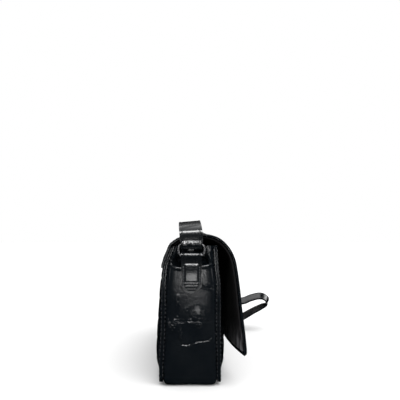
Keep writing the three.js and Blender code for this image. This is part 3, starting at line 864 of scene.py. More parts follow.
class Panels:
    """The front and the back panel."""

    def __init__(self, form: BagForm) -> None:
        """Keeps the bag's form."""
        self.form = form
        self.columns = 150
        self.rows = 96
        self.corner_share = 0.05
        self.plain_border = 5.0

    def _half_at(self, z: float) -> float:
        """Returns the panel's half length at a height, less at the rounded foot."""
        corner = self.form.foot_radius + self.form.seam_width
        short = max(corner - (z - self.form.panel_foot), 0.0)
        return self.form.panel_half - corner + math.sqrt(max(corner**2 - short**2, 0.0))

    def _place(self, side: Side, plates: Embossing, u: float, v: float) -> Vector:
        """Returns the point of a panel's outer face at two shares."""
        form = self.form
        corner = form.foot_radius + form.seam_width
        across = 2 * u - 1
        if v < self.corner_share:
            turn = v / self.corner_share * math.pi / 2
            z = form.panel_foot + corner * (1 - math.cos(turn))
        else:
            drop = form.back_drop if side is Side.BACK else form.front_sag * (1 - across * across)
            low = form.panel_foot + corner
            z = mix(low, form.panel_top - drop, (v - self.corner_share) / (1 - self.corner_share))
        x = across * self._half_at(z)
        point = form.panel_point(side, x, z)
        inside = min(form.panel_half - abs(x), z - form.panel_foot)
        relief = plates.sink(x, z) * ease((inside - form.seam_width) / self.plain_border)
        point.y -= side.value * relief
        return point

    def build(self, side: Side, name: str, plates: Embossing) -> bpy.types.Object:
        """Makes one panel.

        Args:
            side: Which panel it is.
            name: The piece's name.
            plates: Its embossing.

        Returns:
            The panel.
        """
        outward = Vector((0, side.value, 0))
        piece = sheet(name, self.columns, self.rows, lambda u, v: self._place(side, plates, u, v), outward)
        thicken(piece, self.form.leather)
        return piece


class Gusset:
    """The strip that makes both end walls and the base."""

    def __init__(self, form: BagForm) -> None:
        """Keeps the bag's form and lists the end walls' creases."""
        self.form = form
        self.columns = 76
        self.rows = 560
        self.edge_rows = (EdgeRow(1.7, 0.07), EdgeRow(2.7, 0.66), EdgeRow(3.5, 0.93), EdgeRow(5.2, 1.0))
        self.hollow_foot = 112.0
        self.hollow = Hollow((
            (13.5, 143.0), (16.4, 134.5), (18.2, 130.9), (20.0, 128.6), (20.3, 126.6), (19.4, 124.0),
            (17.8, 121.8), (15.4, 120.3), (10.0, 119.4), (0.0, 119.6), (-12.0, 121.3), (-18.0, 122.2),
            (-19.6, 123.2), (-20.0, 125.0), (-17.2, 133.2), (-14.9, 143.0),
        ))
        self.plates = Embossing(plate_length=34.0, row_height=26.0, seed=4.0)
        self.creases = (
            Crease(((-10.5, 101.8), (-16.0, 100.4), (-23.5, 98.6)), 0.55, 0.7, 0.3),
            Crease(((21.5, 66.0), (10.0, 65.6), (0.0, 66.0)), 0.4, 0.7, 0.2),
            Crease(((1.0, 66.0), (-8.0, 66.6), (-20.5, 66.2)), 0.75, 0.8, 0.4),
            Crease(((-5.5, 61.5), (-8.5, 60.2), (-11.5, 62.6)), 0.5, 0.6, 0.3),
            Crease(((21.5, 66.0), (18.5, 58.5), (15.5, 54.5)), 0.5, 0.6, 0.3),
            Crease(((18.5, 63.5), (16.0, 62.0), (15.0, 57.0)), 0.45, 0.6, 0.3),
            Crease(((11.5, 60.0), (11.6, 47.0), (9.0, 43.4), (3.5, 42.4), (-8.0, 46.2), (-18.0, 47.2),
                    (-20.5, 50.5)), 0.5, 0.6, 0.05),
            Crease(((9.5, 62.0), (10.5, 56.0), (9.0, 50.0), (9.8, 46.0)), 0.5, 0.6, 0.3),
            Crease(((13.0, 91.0), (12.2, 88.0), (13.8, 85.0), (12.4, 81.5), (12.8, 72.0)), 0.5, 0.6, 0.3),
            Crease(((9.0, 19.4), (-2.0, 19.2)), 0.16, 0.7, 0.05),
            Crease(((-20.0, 24.6), (-25.0, 24.0)), 0.2, 0.7, 0.1),
        )
        self.swells = (
            Swell(-9.0, 70.0, 11.0, 9.0, 0.8),
            Swell(17.0, 60.0, 4.5, 6.0, 0.5),
            Swell(-2.0, 30.0, 16.0, 12.0, 0.3),
        )

    def _line(self, z: float) -> list[Vector]:
        """Traces the middle of the gusset's leather across the bag at a height.

        Args:
            z: Height above the floor.

        Returns:
            Points of (y, outward distance from the seams' roots).
        """
        form = self.form
        flange = form.leather / 2
        ends = {}
        for side in Side:
            seam = side.value * (form.seam_distance(side, z) - form.gap / 2)
            line = [Vector((seam - side.value * flange, form.seam_width)),
                    Vector((seam - side.value * flange, 0.0))]
            line += [Vector((seam - side.value * row.beside * form.leather, row.out * form.fill))
                     for row in self.edge_rows]
            ends[side] = line
        back, front = ends[Side.BACK], ends[Side.FRONT]
        middle = [back[-1].lerp(front[-1], share) for share in (0.25, 0.5, 0.75)]
        return cut_corners([*back, *middle, *reversed(front)], 2)

    def _wall_relief(self, y: float, z: float) -> float:
        """Returns how far an end wall stands out past its plain face at a place."""
        sunk = sum(crease.sink(y, z) for crease in self.creases)
        return sum(swell.rise(y, z) for swell in self.swells) - sunk

    def _stations(self) -> Spline:
        """Traces the seams' root down one end wall, along the base and up the other."""
        form = self.form
        x = form.end_face - form.root
        corner = form.foot_radius
        points = [Vector((-x, 0, form.panel_top)), Vector((-x, 0, form.root + corner))]
        for turn in (22.5, 45.0, 67.5):
            angle = math.radians(turn)
            points.append(Vector((corner - x - corner * math.cos(angle), 0,
                                  form.root + corner - corner * math.sin(angle))))
        points.append(Vector((corner - x, 0, form.root)))
        mirrored = [Vector((-point.x, 0, point.z)) for point in reversed(points)]
        return Spline([*points, *mirrored], steps=1)

    def build(self) -> bpy.types.Object:
        """Makes the gusset."""
        form = self.form
        trail = self._stations()
        lines: dict[float, Spline] = {}
        base_half = form.end_face - form.root - form.foot_radius

        def place(u: float, v: float) -> Vector:
            """Returns the point of the leather's middle at two shares."""
            root = trail.at(v * trail.length)
            z = max(root.z, form.root)
            key = round(z, 3)
            if key not in lines:
                lines[key] = Spline(self._line(z), steps=1)
            line = lines[key]
            section = line.at(u * line.length)
            y, out = section.x, section.y
            corner = Vector((max(abs(root.x) - base_half, 0.0) * math.copysign(1, root.x), 0,
                             min(root.z - form.root - form.foot_radius, 0.0)))
            outward = corner.normalized() if corner.length > 1e-6 else Vector((0, 0, -1))
            on_wall = ease((root.z - form.root - form.foot_radius) / 8.0)
            face = ease((out / form.fill - 0.55) / 0.45)
            wall = self._wall_relief(y if root.x < 0 else -y, z)
            plates = -self.plates.sink(y, root.x) - self.plates.lift
            out += face * mix(plates, wall, on_wall)
            if z > self.hollow_foot:
                out -= self.hollow.sink(y, z) * ease((out / form.fill - 0.3) / 0.5)
            return Vector((root.x, y, root.z)) + outward * out

        piece = sheet("gusset_leather", self.columns, self.rows, place)
        thicken(piece, form.leather, offset=0.0, rim=0.35)
        return piece


class Flap:
    """The flap's leather and its lining."""

    def __init__(self, form: BagForm) -> None:
        """Keeps the bag's form."""
        self.form = form
        self.columns = 160
        self.rows = 170
        self.lining = 1.8
        self.lining_inset = 2.5
        self.plain_border = 6.0
        self.plates = Embossing(plate_length=36.0, row_height=25.0, seed=9.0)

    def _half_at(self, z: float, half: float) -> float:
        """Returns the flap's half length at a height, less at the hem's corners."""
        form = self.form
        hem = form.height_at(form.flap_line[-1].end_z)
        short = form.flap_corner - min(max(z - hem, 0.0), form.flap_corner)
        return half - form.flap_corner + math.sqrt(form.flap_corner**2 - short**2)

    def _surface(self, half: float, depth: float, start: float, stop: float) -> Place:
        """Makes the function of a surface under the flap's outer face.

        Args:
            half: Half length of the piece.
            depth: Distance below the outer face.
            start: Share of the flap's profile where the piece begins.
            stop: Distance of the piece's end from the hem.

        Returns:
            The function.
        """
        profiles: dict[float, Spline] = {}
        relief_on = depth == 0.0

        def place(u: float, v: float) -> Vector:
            """Returns the surface's point at two shares."""
            x = (2 * u - 1) * half
            key = round(x, 3)
            if key not in profiles:
                profiles[key] = self.form.flap_profile(x)
            profile = profiles[key]
            walked = mix(profile.length * start, profile.length - stop, v)
            point = profile.at(walked)
            run = profile.direction(walked, 1.0)
            outward = Vector((0, -run.z, run.y))
            sunk = depth
            if relief_on:
                inside = min(half - abs(x), walked, profile.length - walked)
                sunk += self.plates.sink(x, walked) * ease((inside - 3.2) / self.plain_border)
            point = point + outward * sunk
            if point.y < 0:
                point.x = (2 * u - 1) * self._half_at(point.z, half)
            return point

        return place

    def build(self) -> tuple[bpy.types.Object, bpy.types.Object]:
        """Makes the leather and the lining."""
        form = self.form
        half = form.flap_length / 2
        leather = sheet("flap_leather", self.columns, self.rows, self._surface(half, 0.0, 0.0, 0.0))
        thicken(leather, form.flap_leather, rim=0.6)
        depth = form.flap_leather + form.gap
        inner = self._surface(half - self.lining_inset, depth, 0.14, 4.5)
        lining = sheet("flap_inner_lining", self.columns // 2, self.rows // 2, inner)
        thicken(lining, self.lining, rim=0.5)
        return leather, lining


class PointRow(NamedTuple):
    """Tab's width along its point, from the tip."""

    along: float
    width: float


class EndHardware:
    """The ring and the sewn tab at one end."""

    def __init__(self, form: BagForm, end: End) -> None:
        """Works out the places of the bars from the bag's form."""
        self.form = form
        self.end = end
        self.wire = 1.2
        self.bar = 22.2
        self.bow = 1.85
        self.pitch = 10.5
        self.play = 0.6
        self.tab_leather = 1.6
        self.tab_width = 20.4
        self.point_length = 9.0
        self.point = (
            PointRow(0.0, 0.08), PointRow(0.15, 0.32), PointRow(0.4, 0.64),
            PointRow(0.7, 0.9), PointRow(1.0, 1.0),
        )
        self.tab_length = 38.2
        self.back_length = 32.2
        self.middle_y = -1.0
        self.lower_bar = form.panel_top - 9.55

    @property
    def bar_out(self) -> float:
        """Distance of the bars from the bag's middle."""
        return self.form.end_face + self.form.gap + self.tab_leather + self.play + self.wire

    def _ring_line(self) -> list[Vector]:
        """Returns the wire's middle line, round both bars and both bowed ends."""
        high = self.pitch / 2
        half = self.bar / 2
        radius = (high**2 + self.bow**2) / (2 * self.bow)
        reach = math.asin(high / radius)
        points = []
        for side in (1, -1):
            points += [Vector((0, side * high)), Vector((side * half * 0.8, side * high))]
            for step in range(13):
                angle = reach * (1 - step / 6)
                y = half + self.bow - radius * (1 - math.cos(angle))
                points.append(Vector((side * y, side * radius * math.sin(angle))))
            points.append(Vector((side * half * 0.8, -side * high)))
        return points

    def build_ring(self, name: str) -> bpy.types.Object:
        """Makes the ring of round wire.

        Args:
            name: The piece's name.

        Returns:
            The ring.
        """
        line = self._ring_line()
        soft = cut_corners([*line, line[0]], 1)
        trail = Spline(soft, steps=2)
        out = self.end.value * self.bar_out
        high = self.lower_bar + self.pitch / 2

        def place(u: float, v: float) -> Vector:
            """Returns the wire's surface at two shares."""
            walked = v % 1.0 * trail.length
            here = trail.at(walked)
            ahead = trail.at((walked + 0.3) % trail.length)
            behind = trail.at((walked - 0.3) % trail.length)
            run = (ahead - behind).normalized()
            angle = 2 * math.pi * u
            side = self.wire * math.cos(angle)
            return Vector((out + self.wire * math.sin(angle), self.middle_y + here.x - side * run.y,
                           high + here.y + side * run.x))

        piece = sheet(name, 20, 220, place, merge=1e-5)
        shape = bmesh.new()
        shape.from_mesh(piece.data)
        bmesh.ops.recalc_face_normals(shape, faces=shape.faces)
        shape.to_mesh(piece.data)
        shape.free()
        return piece

    def _tab_trail(self) -> Spline:
        """Traces the tab's middle from its tip over the lower bar to its inner end."""
        inner = self.form.end_face + self.form.gap + self.tab_leather / 2
        outer = inner + self.tab_leather + self.form.gap
        loop = self.wire + self.play + self.tab_leather / 2
        tip = self.lower_bar - self.tab_length
        points = [Vector((outer, tip)), Vector((outer, tip + 0.3 * self.tab_length)),
                  Vector((outer + 0.1, tip + 0.6 * self.tab_length)),
                  Vector((mix(outer, self.bar_out + loop, 0.35), self.lower_bar - 2 * loop))]
        for step in range(9):
            angle = math.pi * step / 8
            points.append(Vector((self.bar_out + loop * math.cos(angle),
                                  self.lower_bar + loop * math.sin(angle))))
        points += [Vector((inner, self.lower_bar - 2 * loop)),
                   Vector((inner, self.lower_bar - self.back_length))]
        return Spline(points, steps=6)

    def tab_half(self, walked: float) -> float:
        """Returns the tab's half width at a length walked from the tip."""
        share = min(walked / self.point_length, 1.0)
        return self.tab_width / 2 * smooth_between(self.point, "along", "width", share)

    def _tab_relief(self, side: float, walked: float) -> float:
        """Returns how far the tab's outer layer stands out at a place."""
        half = self.tab_half(walked)
        from_edge = min(half - abs(side), walked * 0.8)
        border = -0.4 * hump(from_edge, 2.2, 0.55)
        field_share = ease((from_edge - 2.8) / 1.6)
        field_share *= ease((walked - 11.2) / 1.2) * ease((30.0 - walked) / 1.5)
        ridges = 0.5 * hump(walked, 7.2, 0.6) + 0.55 * hump(walked, 10.4, 0.55)
        ridges *= ease((from_edge - 2.6) / 1.0)
        return border + 0.75 * field_share + ridges

    def _tab_point(self, trail: Spline, side: float, walked: float, lift: float) -> Vector:
        """Returns the point at a height over the tab's middle layer."""
        run = trail.direction(walked)
        spot = trail.at(walked) + Vector((run.y, -run.x)) * lift
        return Vector((self.end.value * spot.x, self.middle_y + side, spot.y))

    def build_tab(self, name: str) -> bpy.types.Object:
        """Makes the tab.

        Args:
            name: The piece's name.

        Returns:
            The tab.
        """
        trail = self._tab_trail()

        def place(u: float, v: float) -> Vector:
            """Returns the point of the tab's middle at two shares."""
            walked = v * trail.length
            side = (2 * u - 1) * self.tab_half(walked)
            return self._tab_point(trail, side, walked, self._tab_relief(side, walked))

        piece = sheet(name, 44, 190, place, Vector((self.end.value, 0, 0)))
        thicken(piece, self.tab_leather, offset=0.0, rim=0.4)
        return piece

    def tab_border(self) -> list["Stitch"]:
        """Lists the stitches along the tab's point and sides."""
        trail = self._tab_trail()
        lift = self.tab_leather / 2 - 0.1
        outward = Vector((self.end.value, 0, 0))
        stitches = []
        for hand in (1, -1):
            walked = 3.4
            while walked < 27.0:
                step = 1.5 if walked < self.point_length else 2.6
                ends = [self._tab_point(trail, hand * (self.tab_half(at) - 2.2), at, lift)
                        for at in (walked, walked + step)]
                run = ends[1] - ends[0]
                stitches.append(Stitch(ends[0].lerp(ends[1], 0.5), run, outward, 0.72 * run.length))
                walked += step
        return stitches


class RiseRow(NamedTuple):
    """Strap over the crown: shares inboard, up and back, and its roll."""

    inboard: float
    up: float
    back: float
    roll: float


class RestRow(NamedTuple):
    """Strap on the flap: shares along and across the bag."""

    along: float
    across: float


class LoopRow(NamedTuple):
    """Strap past the far end: shares out, across and up, and its width's direction."""

    out: float
    across: float
    up: float
    face: tuple[float, float, float]


class HairpinRow(NamedTuple):
    """Strap where it leaves the far ring, in thicknesses outward and a share up."""

    outward: float
    up: float


class ShoulderStrap:
    """The flat strap, folded round the upper bars of both rings."""

    def __init__(self, form: BagForm, hardware: EndHardware) -> None:
        """Keeps the form and lists the strap's route."""
        self.form = form
        self.hardware = hardware
        self.width = 22.8
        self.thickness = 2.4
        self.fold_width = 21.0
        self.tail = 9.0
        self.rest_gap = 0.5
        self.floor_gap = 0.4
        self.rise = (
            RiseRow(0.0005, 0.03, 0, 0), RiseRow(0.001, 0.06, 0.005, 0.01),
            RiseRow(0.006, 0.085, 0.01, 0.03), RiseRow(0.02, 0.105, 0.015, 0.05),
            RiseRow(0.06, 0.121, 0.02, 0.07),
            RiseRow(0.14, 0.139, 0.025, 0.08), RiseRow(0.27, 0.158, 0.03, 0.09),
            RiseRow(0.42, 0.171, 0.033, 0.09), RiseRow(0.56, 0.173, 0.033, 0.08),
            RiseRow(0.72, 0.161, 0.03, 0.05), RiseRow(0.88, 0.137, 0.02, 0.02),
            RiseRow(1.02, 0.111, 0.01, 0), RiseRow(1.14, 0.089, 0, 0),
        )
        self.rest = (
            RestRow(0.25, -0.03), RestRow(0.45, -0.05), RestRow(0.62, -0.1), RestRow(0.78, -0.19),
            RestRow(0.9, -0.29), RestRow(0.98, -0.38),
        )
        self.loop = (
            LoopRow(0.12, -0.43, 1.082, (0.08, 0.88, 0.44)), LoopRow(0.42, -0.52, 1.015, (0.25, 0.8, 0.5)),
            LoopRow(0.78, -0.62, 0.88, (0.55, 0.8, 0.2)), LoopRow(1.04, -0.74, 0.7, (0.85, 0.5, 0)),
            LoopRow(1.18, -0.86, 0.51, (1, 0.2, 0)), LoopRow(1.24, -1.03, 0.378, (1, 0, 0.14)),
            LoopRow(1.27, -1.22, 0.32, (1, 0, 0.22)), LoopRow(1.28, -1.42, 0.316, (1, -0.04, 0.26)),
            LoopRow(1.28, -1.63, 0.35, (1, -0.1, 0.27)), LoopRow(1.28, -1.84, 0.372, (1, -0.17, 0.27)),
            LoopRow(1.28, -1.98, 0.364, (1, -0.26, 0.24)), LoopRow(1.27, -2.075, 0.33, (1, -0.34, 0.16)),
            LoopRow(1.27, -2.06, 0.288, (1, -0.3, 0.1)), LoopRow(1.26, -1.93, 0.254, (1, -0.2, 0.18)),
            LoopRow(1.25, -1.7, 0.204, (1, -0.1, 0.2)), LoopRow(1.24, -1.44, 0.14, (1, 0, 0.18)),
            LoopRow(1.2, -1.15, 0.072, (1, 0.05, 0.06)), LoopRow(1.14, -0.9, 0.018, (1, 0.08, 0.02)),
        )
        self.floor_run = (
            LoopRow(1.09, -0.66, 0, (1, 0.08, 0)), LoopRow(1.05, -0.4, 0, (1, 0.06, 0)),
            LoopRow(1.02, -0.16, 0.012, (1, 0.04, 0)), LoopRow(1.0, 0.03, 0.07, (1, 0.05, 0)),
            LoopRow(0.99, 0.105, 0.19, (0.95, 0.25, 0)), LoopRow(0.96, 0.1, 0.35, (0.75, 0.65, 0)),
            LoopRow(0.9, 0.06, 0.52, (0.45, 0.9, 0)), LoopRow(0.83, 0.02, 0.7, (0.15, 1, 0)),
            LoopRow(0.78, -0.01, 0.88, (0, 1, 0)),
        )
        self.hairpin = (
            HairpinRow(4.7, 0.03), HairpinRow(4.6, 0.085), HairpinRow(3.7, 0.122), HairpinRow(2.2, 0.136),
            HairpinRow(0.8, 0.118), HairpinRow(0.15, 0.08),
        )

    @property
    def bar_height(self) -> float:
        """Height of the upper bars."""
        return self.hardware.lower_bar + self.hardware.pitch

    @property
    def loop_radius(self) -> float:
        """Radius of the strap's middle round a bar."""
        return self.hardware.wire + self.hardware.play + self.thickness / 2

    def _fold(self, end: End) -> list[Vector]:
        """Returns the strap's end round an upper bar, from its tail to its outer layer."""
        middle = self.hardware.middle_y
        outer = self.hardware.bar_out + self.loop_radius
        tail = outer - self.thickness - 2 * self.form.gap
        low, foot = self.bar_height + self.tail, self.bar_height + 2 * self.loop_radius
        points = [Vector((end.value * tail, middle, low)), Vector((end.value * tail, middle, foot))]
        for step in range(11):
            angle = math.pi * (1 + step / 10)
            out = self.hardware.bar_out + self.loop_radius * math.cos(angle)
            up = self.bar_height + self.loop_radius * math.sin(angle)
            points.append(Vector((end.value * out, middle, up)))
        return points

    def _crown_under(self, x: float, y: float) -> tuple[float, Vector]:
        """Returns the crown's height and its upward direction under a place."""
        profile = self.form.flap_profile(x)
        low, high = profile.length * 0.1, profile.length * 0.5
        for _ in range(24):
            middle = (low + high) / 2
            if profile.at(middle).y > y:
                low = middle
            else:
                high = middle
        run = profile.direction(low, 1.0)
        return profile.at(low).z, Vector((0, run.z, -run.y)).normalized()

    def _route(self) -> list[tuple[Vector, Vector, float]]:
        """Returns the strap's points, width directions and half widths."""
        form = self.form
        across = Vector((0, 1, 0))
        fold_half, half = self.fold_width / 2, self.width / 2
        outer = self.hardware.bar_out + self.loop_radius
        route = [(point, across, fold_half) for point in self._fold(End.NEAR)]
        for row in self.rise:
            point = Vector((row.inboard * form.end_face - outer,
                            self.hardware.middle_y + row.back * form.depth,
                            self.bar_height + row.up * form.panel_height))
            route.append((point, Vector((0, 1, -row.roll)), half))
        for row in self.rest:
            x, y = row.along * form.flap_length / 2, row.across * form.depth
            z, upward = self._crown_under(x, y)
            point = Vector((x, y, z)) + upward * (self.rest_gap + self.thickness / 2)
            route.append((point, Vector((0, upward.z, -upward.y)), half))
        floor = self.floor_gap + self.thickness / 2
        for rows, base in ((self.loop, form.panel_foot), (self.floor_run, floor)):
            for row in rows:
                point = Vector((form.end_face + row.out * self.width, row.across * form.depth,
                                base + row.up * form.panel_height))
                route.append((point, Vector(row.face), half))
        for row in self.hairpin:
            point = Vector((outer + row.outward * self.thickness, self.hardware.middle_y,
                            self.bar_height + row.up * form.panel_height))
            route.append((point, across, half))
        route += [(point, across, fold_half) for point in reversed(self._fold(End.FAR))]
        return route

    def _relief(self, side: float, half: float, walked: float, fold_at: float) -> float:
        """Returns how far the strap's outer face stands out at a place.

        Args:
            side: Distance across from the strap's middle.
            half: The strap's half width there.
            walked: Length from the strap's near end.
            fold_at: Length at which the near fold's outer layer starts.

        Returns:
            The height over the plain strap.
        """
        from_edge = half - abs(side)
        seam = -0.28 * hump(from_edge, 2.6, 0.5)
        band = 0.1 * ease((2.6 - from_edge) / 0.6)
        up = walked - fold_at
        if not -5.0 < up < 34.0:
            return seam + band
        wave = noise.noise(Vector((side * 0.28, walked * 0.2, 2.0)))
        ripple = noise.noise(Vector((side * 0.75, walked * 0.55, 7.0)))
        ramp = min(max((3.8 + 0.8 * wave - up) / 3.4, 0.0), 1.0) * ease((up + 1.4) / 1.2)
        crinkle = 1.4 * ramp * (1.0 + 0.7 * ripple)
        slant = 1.0 * hump(up + 0.42 * side, 22.0, 1.6) + 0.4 * hump(up - 0.02 * side, 14.4, 0.5)
        inner = ease((from_edge - 1.0) / 1.2)
        return seam + band + inner * (crinkle + slant)

    def build(self) -> bpy.types.Object:
        """Makes the strap."""
        route = self._route()
        line = Spline([point for point, _, _ in route], steps=6)
        faces = Spline([face for _, face, _ in route], steps=6)
        halves = Spline([Vector((half, 0.0)) for _, _, half in route], steps=6)
        fold_at = Spline(self._fold(End.NEAR), steps=6).length

        def place(u: float, v: float) -> Vector:
            """Returns the point of the strap's middle at two shares."""
            walked = v * line.length
            index = line.index_at(walked)
            run = line.direction(walked)
            face = faces.pick(index)
            across = (face - run * face.dot(run)).normalized()
            outward = run.cross(across)
            half = halves.pick(index).x
            side = (2 * u - 1) * half
            return line.pick(index) + across * side + outward * self._relief(side, half, walked, fold_at)

        piece = sheet("strap_leather", 40, 620, place)
        thicken(piece, self.thickness, offset=0.0, rim=0.5)
        return piece


@dataclass(frozen=True)
class Stitch:
    """One stitch: its middle, its direction and the direction that it lifts along, in millimetres."""

    middle: Vector
    run: Vector
    lift: Vector
    length: float = 2.9


class Stitching:
    """Rows of stitches, each a small rounded bar that sinks at both ends."""

    def __init__(self, form: BagForm) -> None:
        """Keeps the bag's form."""
        self.form = form
        self.pitch = 4.2
        self.thread = 0.75

    def sew(self, name: str, stitches: Iterable[Stitch], finish: bpy.types.Material) -> bpy.types.Object:
        """Makes one mesh of many stitches.

        Args:
            name: The piece's name.
            stitches: Where they lie.
            finish: The thread's material.

        Returns:
            The stitches.
        """
        shape = bmesh.new()
        for stitch in stitches:
            run = stitch.run.normalized()
            lift = (stitch.lift - run * stitch.lift.dot(run)).normalized()
            turn = Matrix((lift.cross(run), lift, run)).transposed().to_4x4()
            size = Matrix.Diagonal((self.thread / 2, self.thread / 2, stitch.length / 2, 1 / MM)) * MM
            place = Matrix.Translation(stitch.middle * MM) @ turn @ size
            bmesh.ops.create_uvsphere(shape, u_segments=6, v_segments=5, radius=1.0, matrix=place)
        piece = finish_mesh(name, shape)
        piece.data.materials.append(finish)
        return piece

    def panel_seam(self, side: Side) -> list[Stitch]:
        """Lists the stitches along a panel's ends and foot, on both faces of the seam."""
        form = self.form
        inset = form.seam_width * 0.5
        half, foot = form.panel_half - inset, form.panel_foot + inset
        corner = form.foot_radius + inset
        points = [Vector((-half, form.panel_top - 3)), Vector((-half, foot + corner))]
        points += [Vector((corner - half - corner * math.cos(math.radians(turn)),
                           foot + corner - corner * math.sin(math.radians(turn)))) for turn in (30, 60, 90)]
        points += [Vector((-point.x, point.y)) for point in reversed(points)]
        trail = Spline(points, steps=1)
        stitches = []
        count = int(trail.length / self.pitch)
        for step in range(count):
            walked = (step + 0.5) * trail.length / count
            here, run = trail.at(walked), trail.direction(walked)
            outer = form.panel_point(side, here.x, here.y)
            ahead = form.panel_point(side, here.x + run.x, here.y + run.y)
            lift = Vector((0, side.value, 0))
            stitches.append(Stitch(outer + lift * 0.05, ahead - outer, lift))
            inner = outer - lift * (2 * form.leather + form.gap + 0.05)
            stitches.append(Stitch(inner, ahead - outer, -lift))
        return stitches

    def flap_border(self) -> list[Stitch]:
        """Lists the stitches along the flap's ends, its hem and its sewn edge."""
        form = self.form
        inset = 3.2
        half = form.flap_length / 2 - inset
        stitches = []
        for x in (-half, half):
            profile = form.flap_profile(x)
            count = int((profile.length - 2 * inset) / self.pitch)
            for step in range(count):
                walked = inset + (step + 0.5) * self.pitch
                run = profile.direction(walked, 1.0)
                stitches.append(Stitch(profile.at(walked), run, Vector((0, run.z, -run.y))))
        count = int(2 * (half - inset) / self.pitch)
        for from_start in (True, False):
            for step in range(count):
                x = (step + 0.5 - count / 2) * self.pitch
                profile = form.flap_profile(x)
                walked = inset if from_start else profile.length - inset
                run = profile.direction(walked, 1.0)
                ahead = form.flap_profile(x + 1.0)
                along = ahead.at(inset if from_start else ahead.length - inset) - profile.at(walked)
                stitches.append(Stitch(profile.at(walked), along, Vector((0, run.z, -run.y))))
        return stitches


class SoftboxRow(NamedTuple):
    """A light that only shows as a reflection, in metres.

    Its shine is its brightness, where the white floor is about 1.
    """

    name: str
    at: tuple[float, float, float]
    towards: tuple[float, float, float]
    size: tuple[float, float]
    shine: float


class Studio:
    """The floor, the lights and the camera."""

    def __init__(self) -> None:
        """Sets the camera's place and the frame's size."""
        self.camera_distance = 400.0
        self.camera_height = 150.75
        self.camera_y = 0.5
        self.frame_width = 400.0
        self.frame_height = 400.0
        self.focal = 36.0
        self.middle_x = 190.0
        self.horizon_y = 236.7
        self.daylight_from = Vector((-0.4, -0.34, 1.0))
        self.daylight_spread = 55.0
        self.daylight_strength = 2.1
        self.floor_shade = 0.8
        middle = (0.0, 0.0, 0.08)
        near = (-0.11, 0.0, 0.09)
        tab = (-0.117, -0.002, 0.114)
        self.softboxes = (
            SoftboxRow("high_near", (-0.75, 0.0, 0.8), near, (0.5, 0.24), 20.0),
            SoftboxRow("tab_card", (-0.75, -0.006, 0.068), tab, (0.035, 0.08), 18.0),
            SoftboxRow("left_near", (-0.7, 0.62, 0.34), near, (0.14, 0.5), 5.0),
            SoftboxRow("right_near", (-0.7, -0.62, 0.34), near, (0.14, 0.5), 5.0),
            SoftboxRow("overhead", (0.3, 0.0, 1.2), (0.3, 0.0, 0.0), (3.4, 1.0), 0.8),
            SoftboxRow("back_box", (-0.2, 1.0, 0.75), middle, (1.1, 0.5), 1.8),
            SoftboxRow("far_back_box", (0.75, 0.75, 0.5), middle, (0.4, 0.4), 2.5),
            SoftboxRow("front_box", (0.2, -1.0, 0.75), middle, (1.1, 0.5), 1.8),
            SoftboxRow("far_front_box", (0.75, -0.75, 0.5), middle, (0.4, 0.4), 2.5),
        )

    def floor(self) -> None:
        """Lays the plain pale floor."""
        shape = bmesh.new()
        bmesh.ops.create_grid(shape, x_segments=1, y_segments=1, size=8.0)
        data = bpy.data.meshes.new("floor")
        shape.to_mesh(data)
        shape.free()
        ground = bpy.data.objects.new("floor", data)
        bpy.context.scene.collection.objects.link(ground)
        graph = Graph("pale_floor")
        shade = self.floor_shade
        graph.set(Base_Color=(shade, shade, shade, 1), Roughness=0.9, Specular_IOR_Level=0.0)
        data.materials.append(graph.material)
        ground.visible_glossy = False

    def softbox(self, row: SoftboxRow) -> None:
        """Adds one light that only shows as a reflection."""
        data = bpy.data.lights.new(row.name, "AREA")
        data.shape = "RECTANGLE"
        data.size, data.size_y = row.size
        data.energy = row.shine * math.pi * row.size[0] * row.size[1]
        lamp = bpy.data.objects.new(row.name, data)
        lamp.location = row.at
        aim = Vector(row.towards) - Vector(row.at)
        lamp.rotation_euler = aim.to_track_quat("-Z", "Y").to_euler()
        lamp.visible_camera = False
        lamp.visible_diffuse = False
        bpy.context.scene.collection.objects.link(lamp)

    def daylight(self) -> None:
        """Adds the high soft light that throws the shadows."""
        data = bpy.data.lights.new("daylight", "SUN")
        data.energy = self.daylight_strength
        data.angle = math.radians(self.daylight_spread)
        lamp = bpy.data.objects.new("daylight", data)
        lamp.rotation_euler = (-self.daylight_from).to_track_quat("-Z", "Y").to_euler()
        lamp.visible_glossy = False
        lamp.visible_camera = False
        bpy.context.scene.collection.objects.link(lamp)

    def lights(self) -> None:
        """Hangs the lights and sets the pale surroundings."""
        world = bpy.data.worlds.new("surroundings")
        world.use_nodes = True
        world.node_tree.nodes["Background"].inputs["Color"].default_value = (1, 1, 1, 1)
        world.node_tree.nodes["Background"].inputs["Strength"].default_value = 1.0
        world.cycles_visibility.glossy = False
        bpy.context.scene.world = world
        self.daylight()
        for row in self.softboxes:
            self.softbox(row)

    def camera(self) -> None:
        """Places the camera at the near end, as high as the strap's fold."""
        data = bpy.data.cameras.new("camera")
        data.lens = self.focal
        data.sensor_width = self.focal
        data.shift_x = (self.frame_width / 2 - self.middle_x) / self.frame_width
        data.shift_y = (self.horizon_y - self.frame_height / 2) / self.frame_width
        data.clip_start = 0.01
        seat = bpy.data.objects.new("camera", data)
        seat.location = Vector((-110.0 - self.camera_distance, self.camera_y, self.camera_height)) * MM
        seat.rotation_euler = (math.radians(90), 0, math.radians(-90))
        bpy.context.scene.collection.objects.link(seat)
        bpy.context.scene.camera = seat
        LOG.info("camera %.0f mm before the near end", self.camera_distance)

    def build(self) -> None:
        """Sets the whole studio."""
        self.floor()
        self.lights()
        self.camera()
        bpy.context.scene.view_settings.view_transform = "Standard"


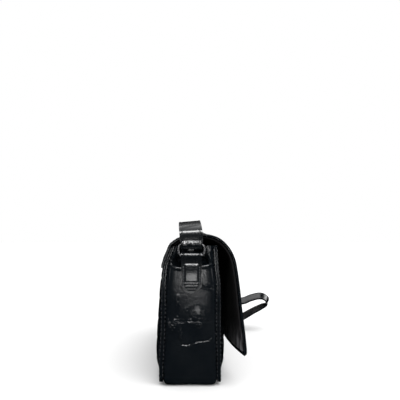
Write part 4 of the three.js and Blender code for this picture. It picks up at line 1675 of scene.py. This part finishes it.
def main() -> None:
    """Builds the bag's pieces in order."""
    logging.basicConfig(level=logging.INFO, format="%(name)s %(message)s")
    noise.seed_set(NOISE_SEED)
    form = BagForm()
    skin = PatentLeather("embossed_leather", (
        GrainSpot(-8.5, 78.0, 13.0, 6.0, 2.0, 0.8), GrainSpot(-7.5, 72.5, 7.5, 6.0, 2.0, 0.9),
        GrainSpot(18.0, 61.0, 4.0, 7.0, 2.0, 0.9),
        GrainSpot(10.0, 54.5, 2.0, 9.0, 2.0, 0.9), GrainSpot(13.0, 86.0, 1.6, 6.0, 2.0, 0.9),
        GrainSpot(-9.0, 61.5, 4.0, 2.4, 2.0, 0.8),
    )).material()
    strap_spots = (
        GrainSpot(-1.4, 114.2, 6.0, 9.2, 5.0, 1.1), GrainSpot(-1.0, 144.6, 10.2, 2.4, 4.0, 0.5),
    )
    strap_skin = PatentLeather(
        "strap_leather", strap_spots, roughness=0.24, coat=0.4, coat_roughness=0.12, specular=0.5,
        ripple=200.0, ripple_depth=0.00008,
    ).material()
    lining_skin = MatteLining().material()
    metal = BlackMetal().material()
    thread = Thread().material()

    panels = Panels(form)
    dressed = [
        (panels.build(Side.BACK, "back_panel_leather", Embossing(seed=1.0)), skin,
         "embossed_leather", "back_panel"),
        (panels.build(Side.FRONT, "front_panel_leather", Embossing(seed=2.0)), skin,
         "embossed_leather", "front_panel"),
        (Gusset(form).build(), skin, "embossed_leather", "gusset"),
    ]
    leather, lining = Flap(form).build()
    dressed.append((leather, skin, "embossed_leather", "flap"))
    dressed.append((lining, lining_skin, "matte_lining", "flap_lining"))
    for end in End:
        word = end.name.lower()
        hardware = EndHardware(form, end)
        ring = hardware.build_ring(f"ring_wire_{word}")
        tab = hardware.build_tab(f"tab_leather_{word}")
        dressed.append((ring, metal, "black_metal", f"ring_{word}"))
        dressed.append((tab, strap_skin, "strap_leather", f"strap_tab_{word}"))
    strap = ShoulderStrap(form, EndHardware(form, End.NEAR)).build()
    dressed.append((strap, strap_skin, "strap_leather", "shoulder_strap"))
    for piece, finish, slot, node in dressed:
        piece.data.materials.append(finish)
        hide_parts(node)

    stitching = Stitching(form)
    stitching.sew("back_seam_stitches", stitching.panel_seam(Side.BACK), thread)
    stitching.sew("front_seam_stitches", stitching.panel_seam(Side.FRONT), thread)
    stitching.sew("flap_stitches", stitching.flap_border(), thread)
    for end in End:
        stitching.sew(f"tab_stitches_{end.name.lower()}", EndHardware(form, end).tab_border(), thread)

    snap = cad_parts["magnet_snap"]
    snap.data.materials.clear()
    snap.data.materials.append(metal)
    Studio().build()


if __name__ == "__main__":
    main()
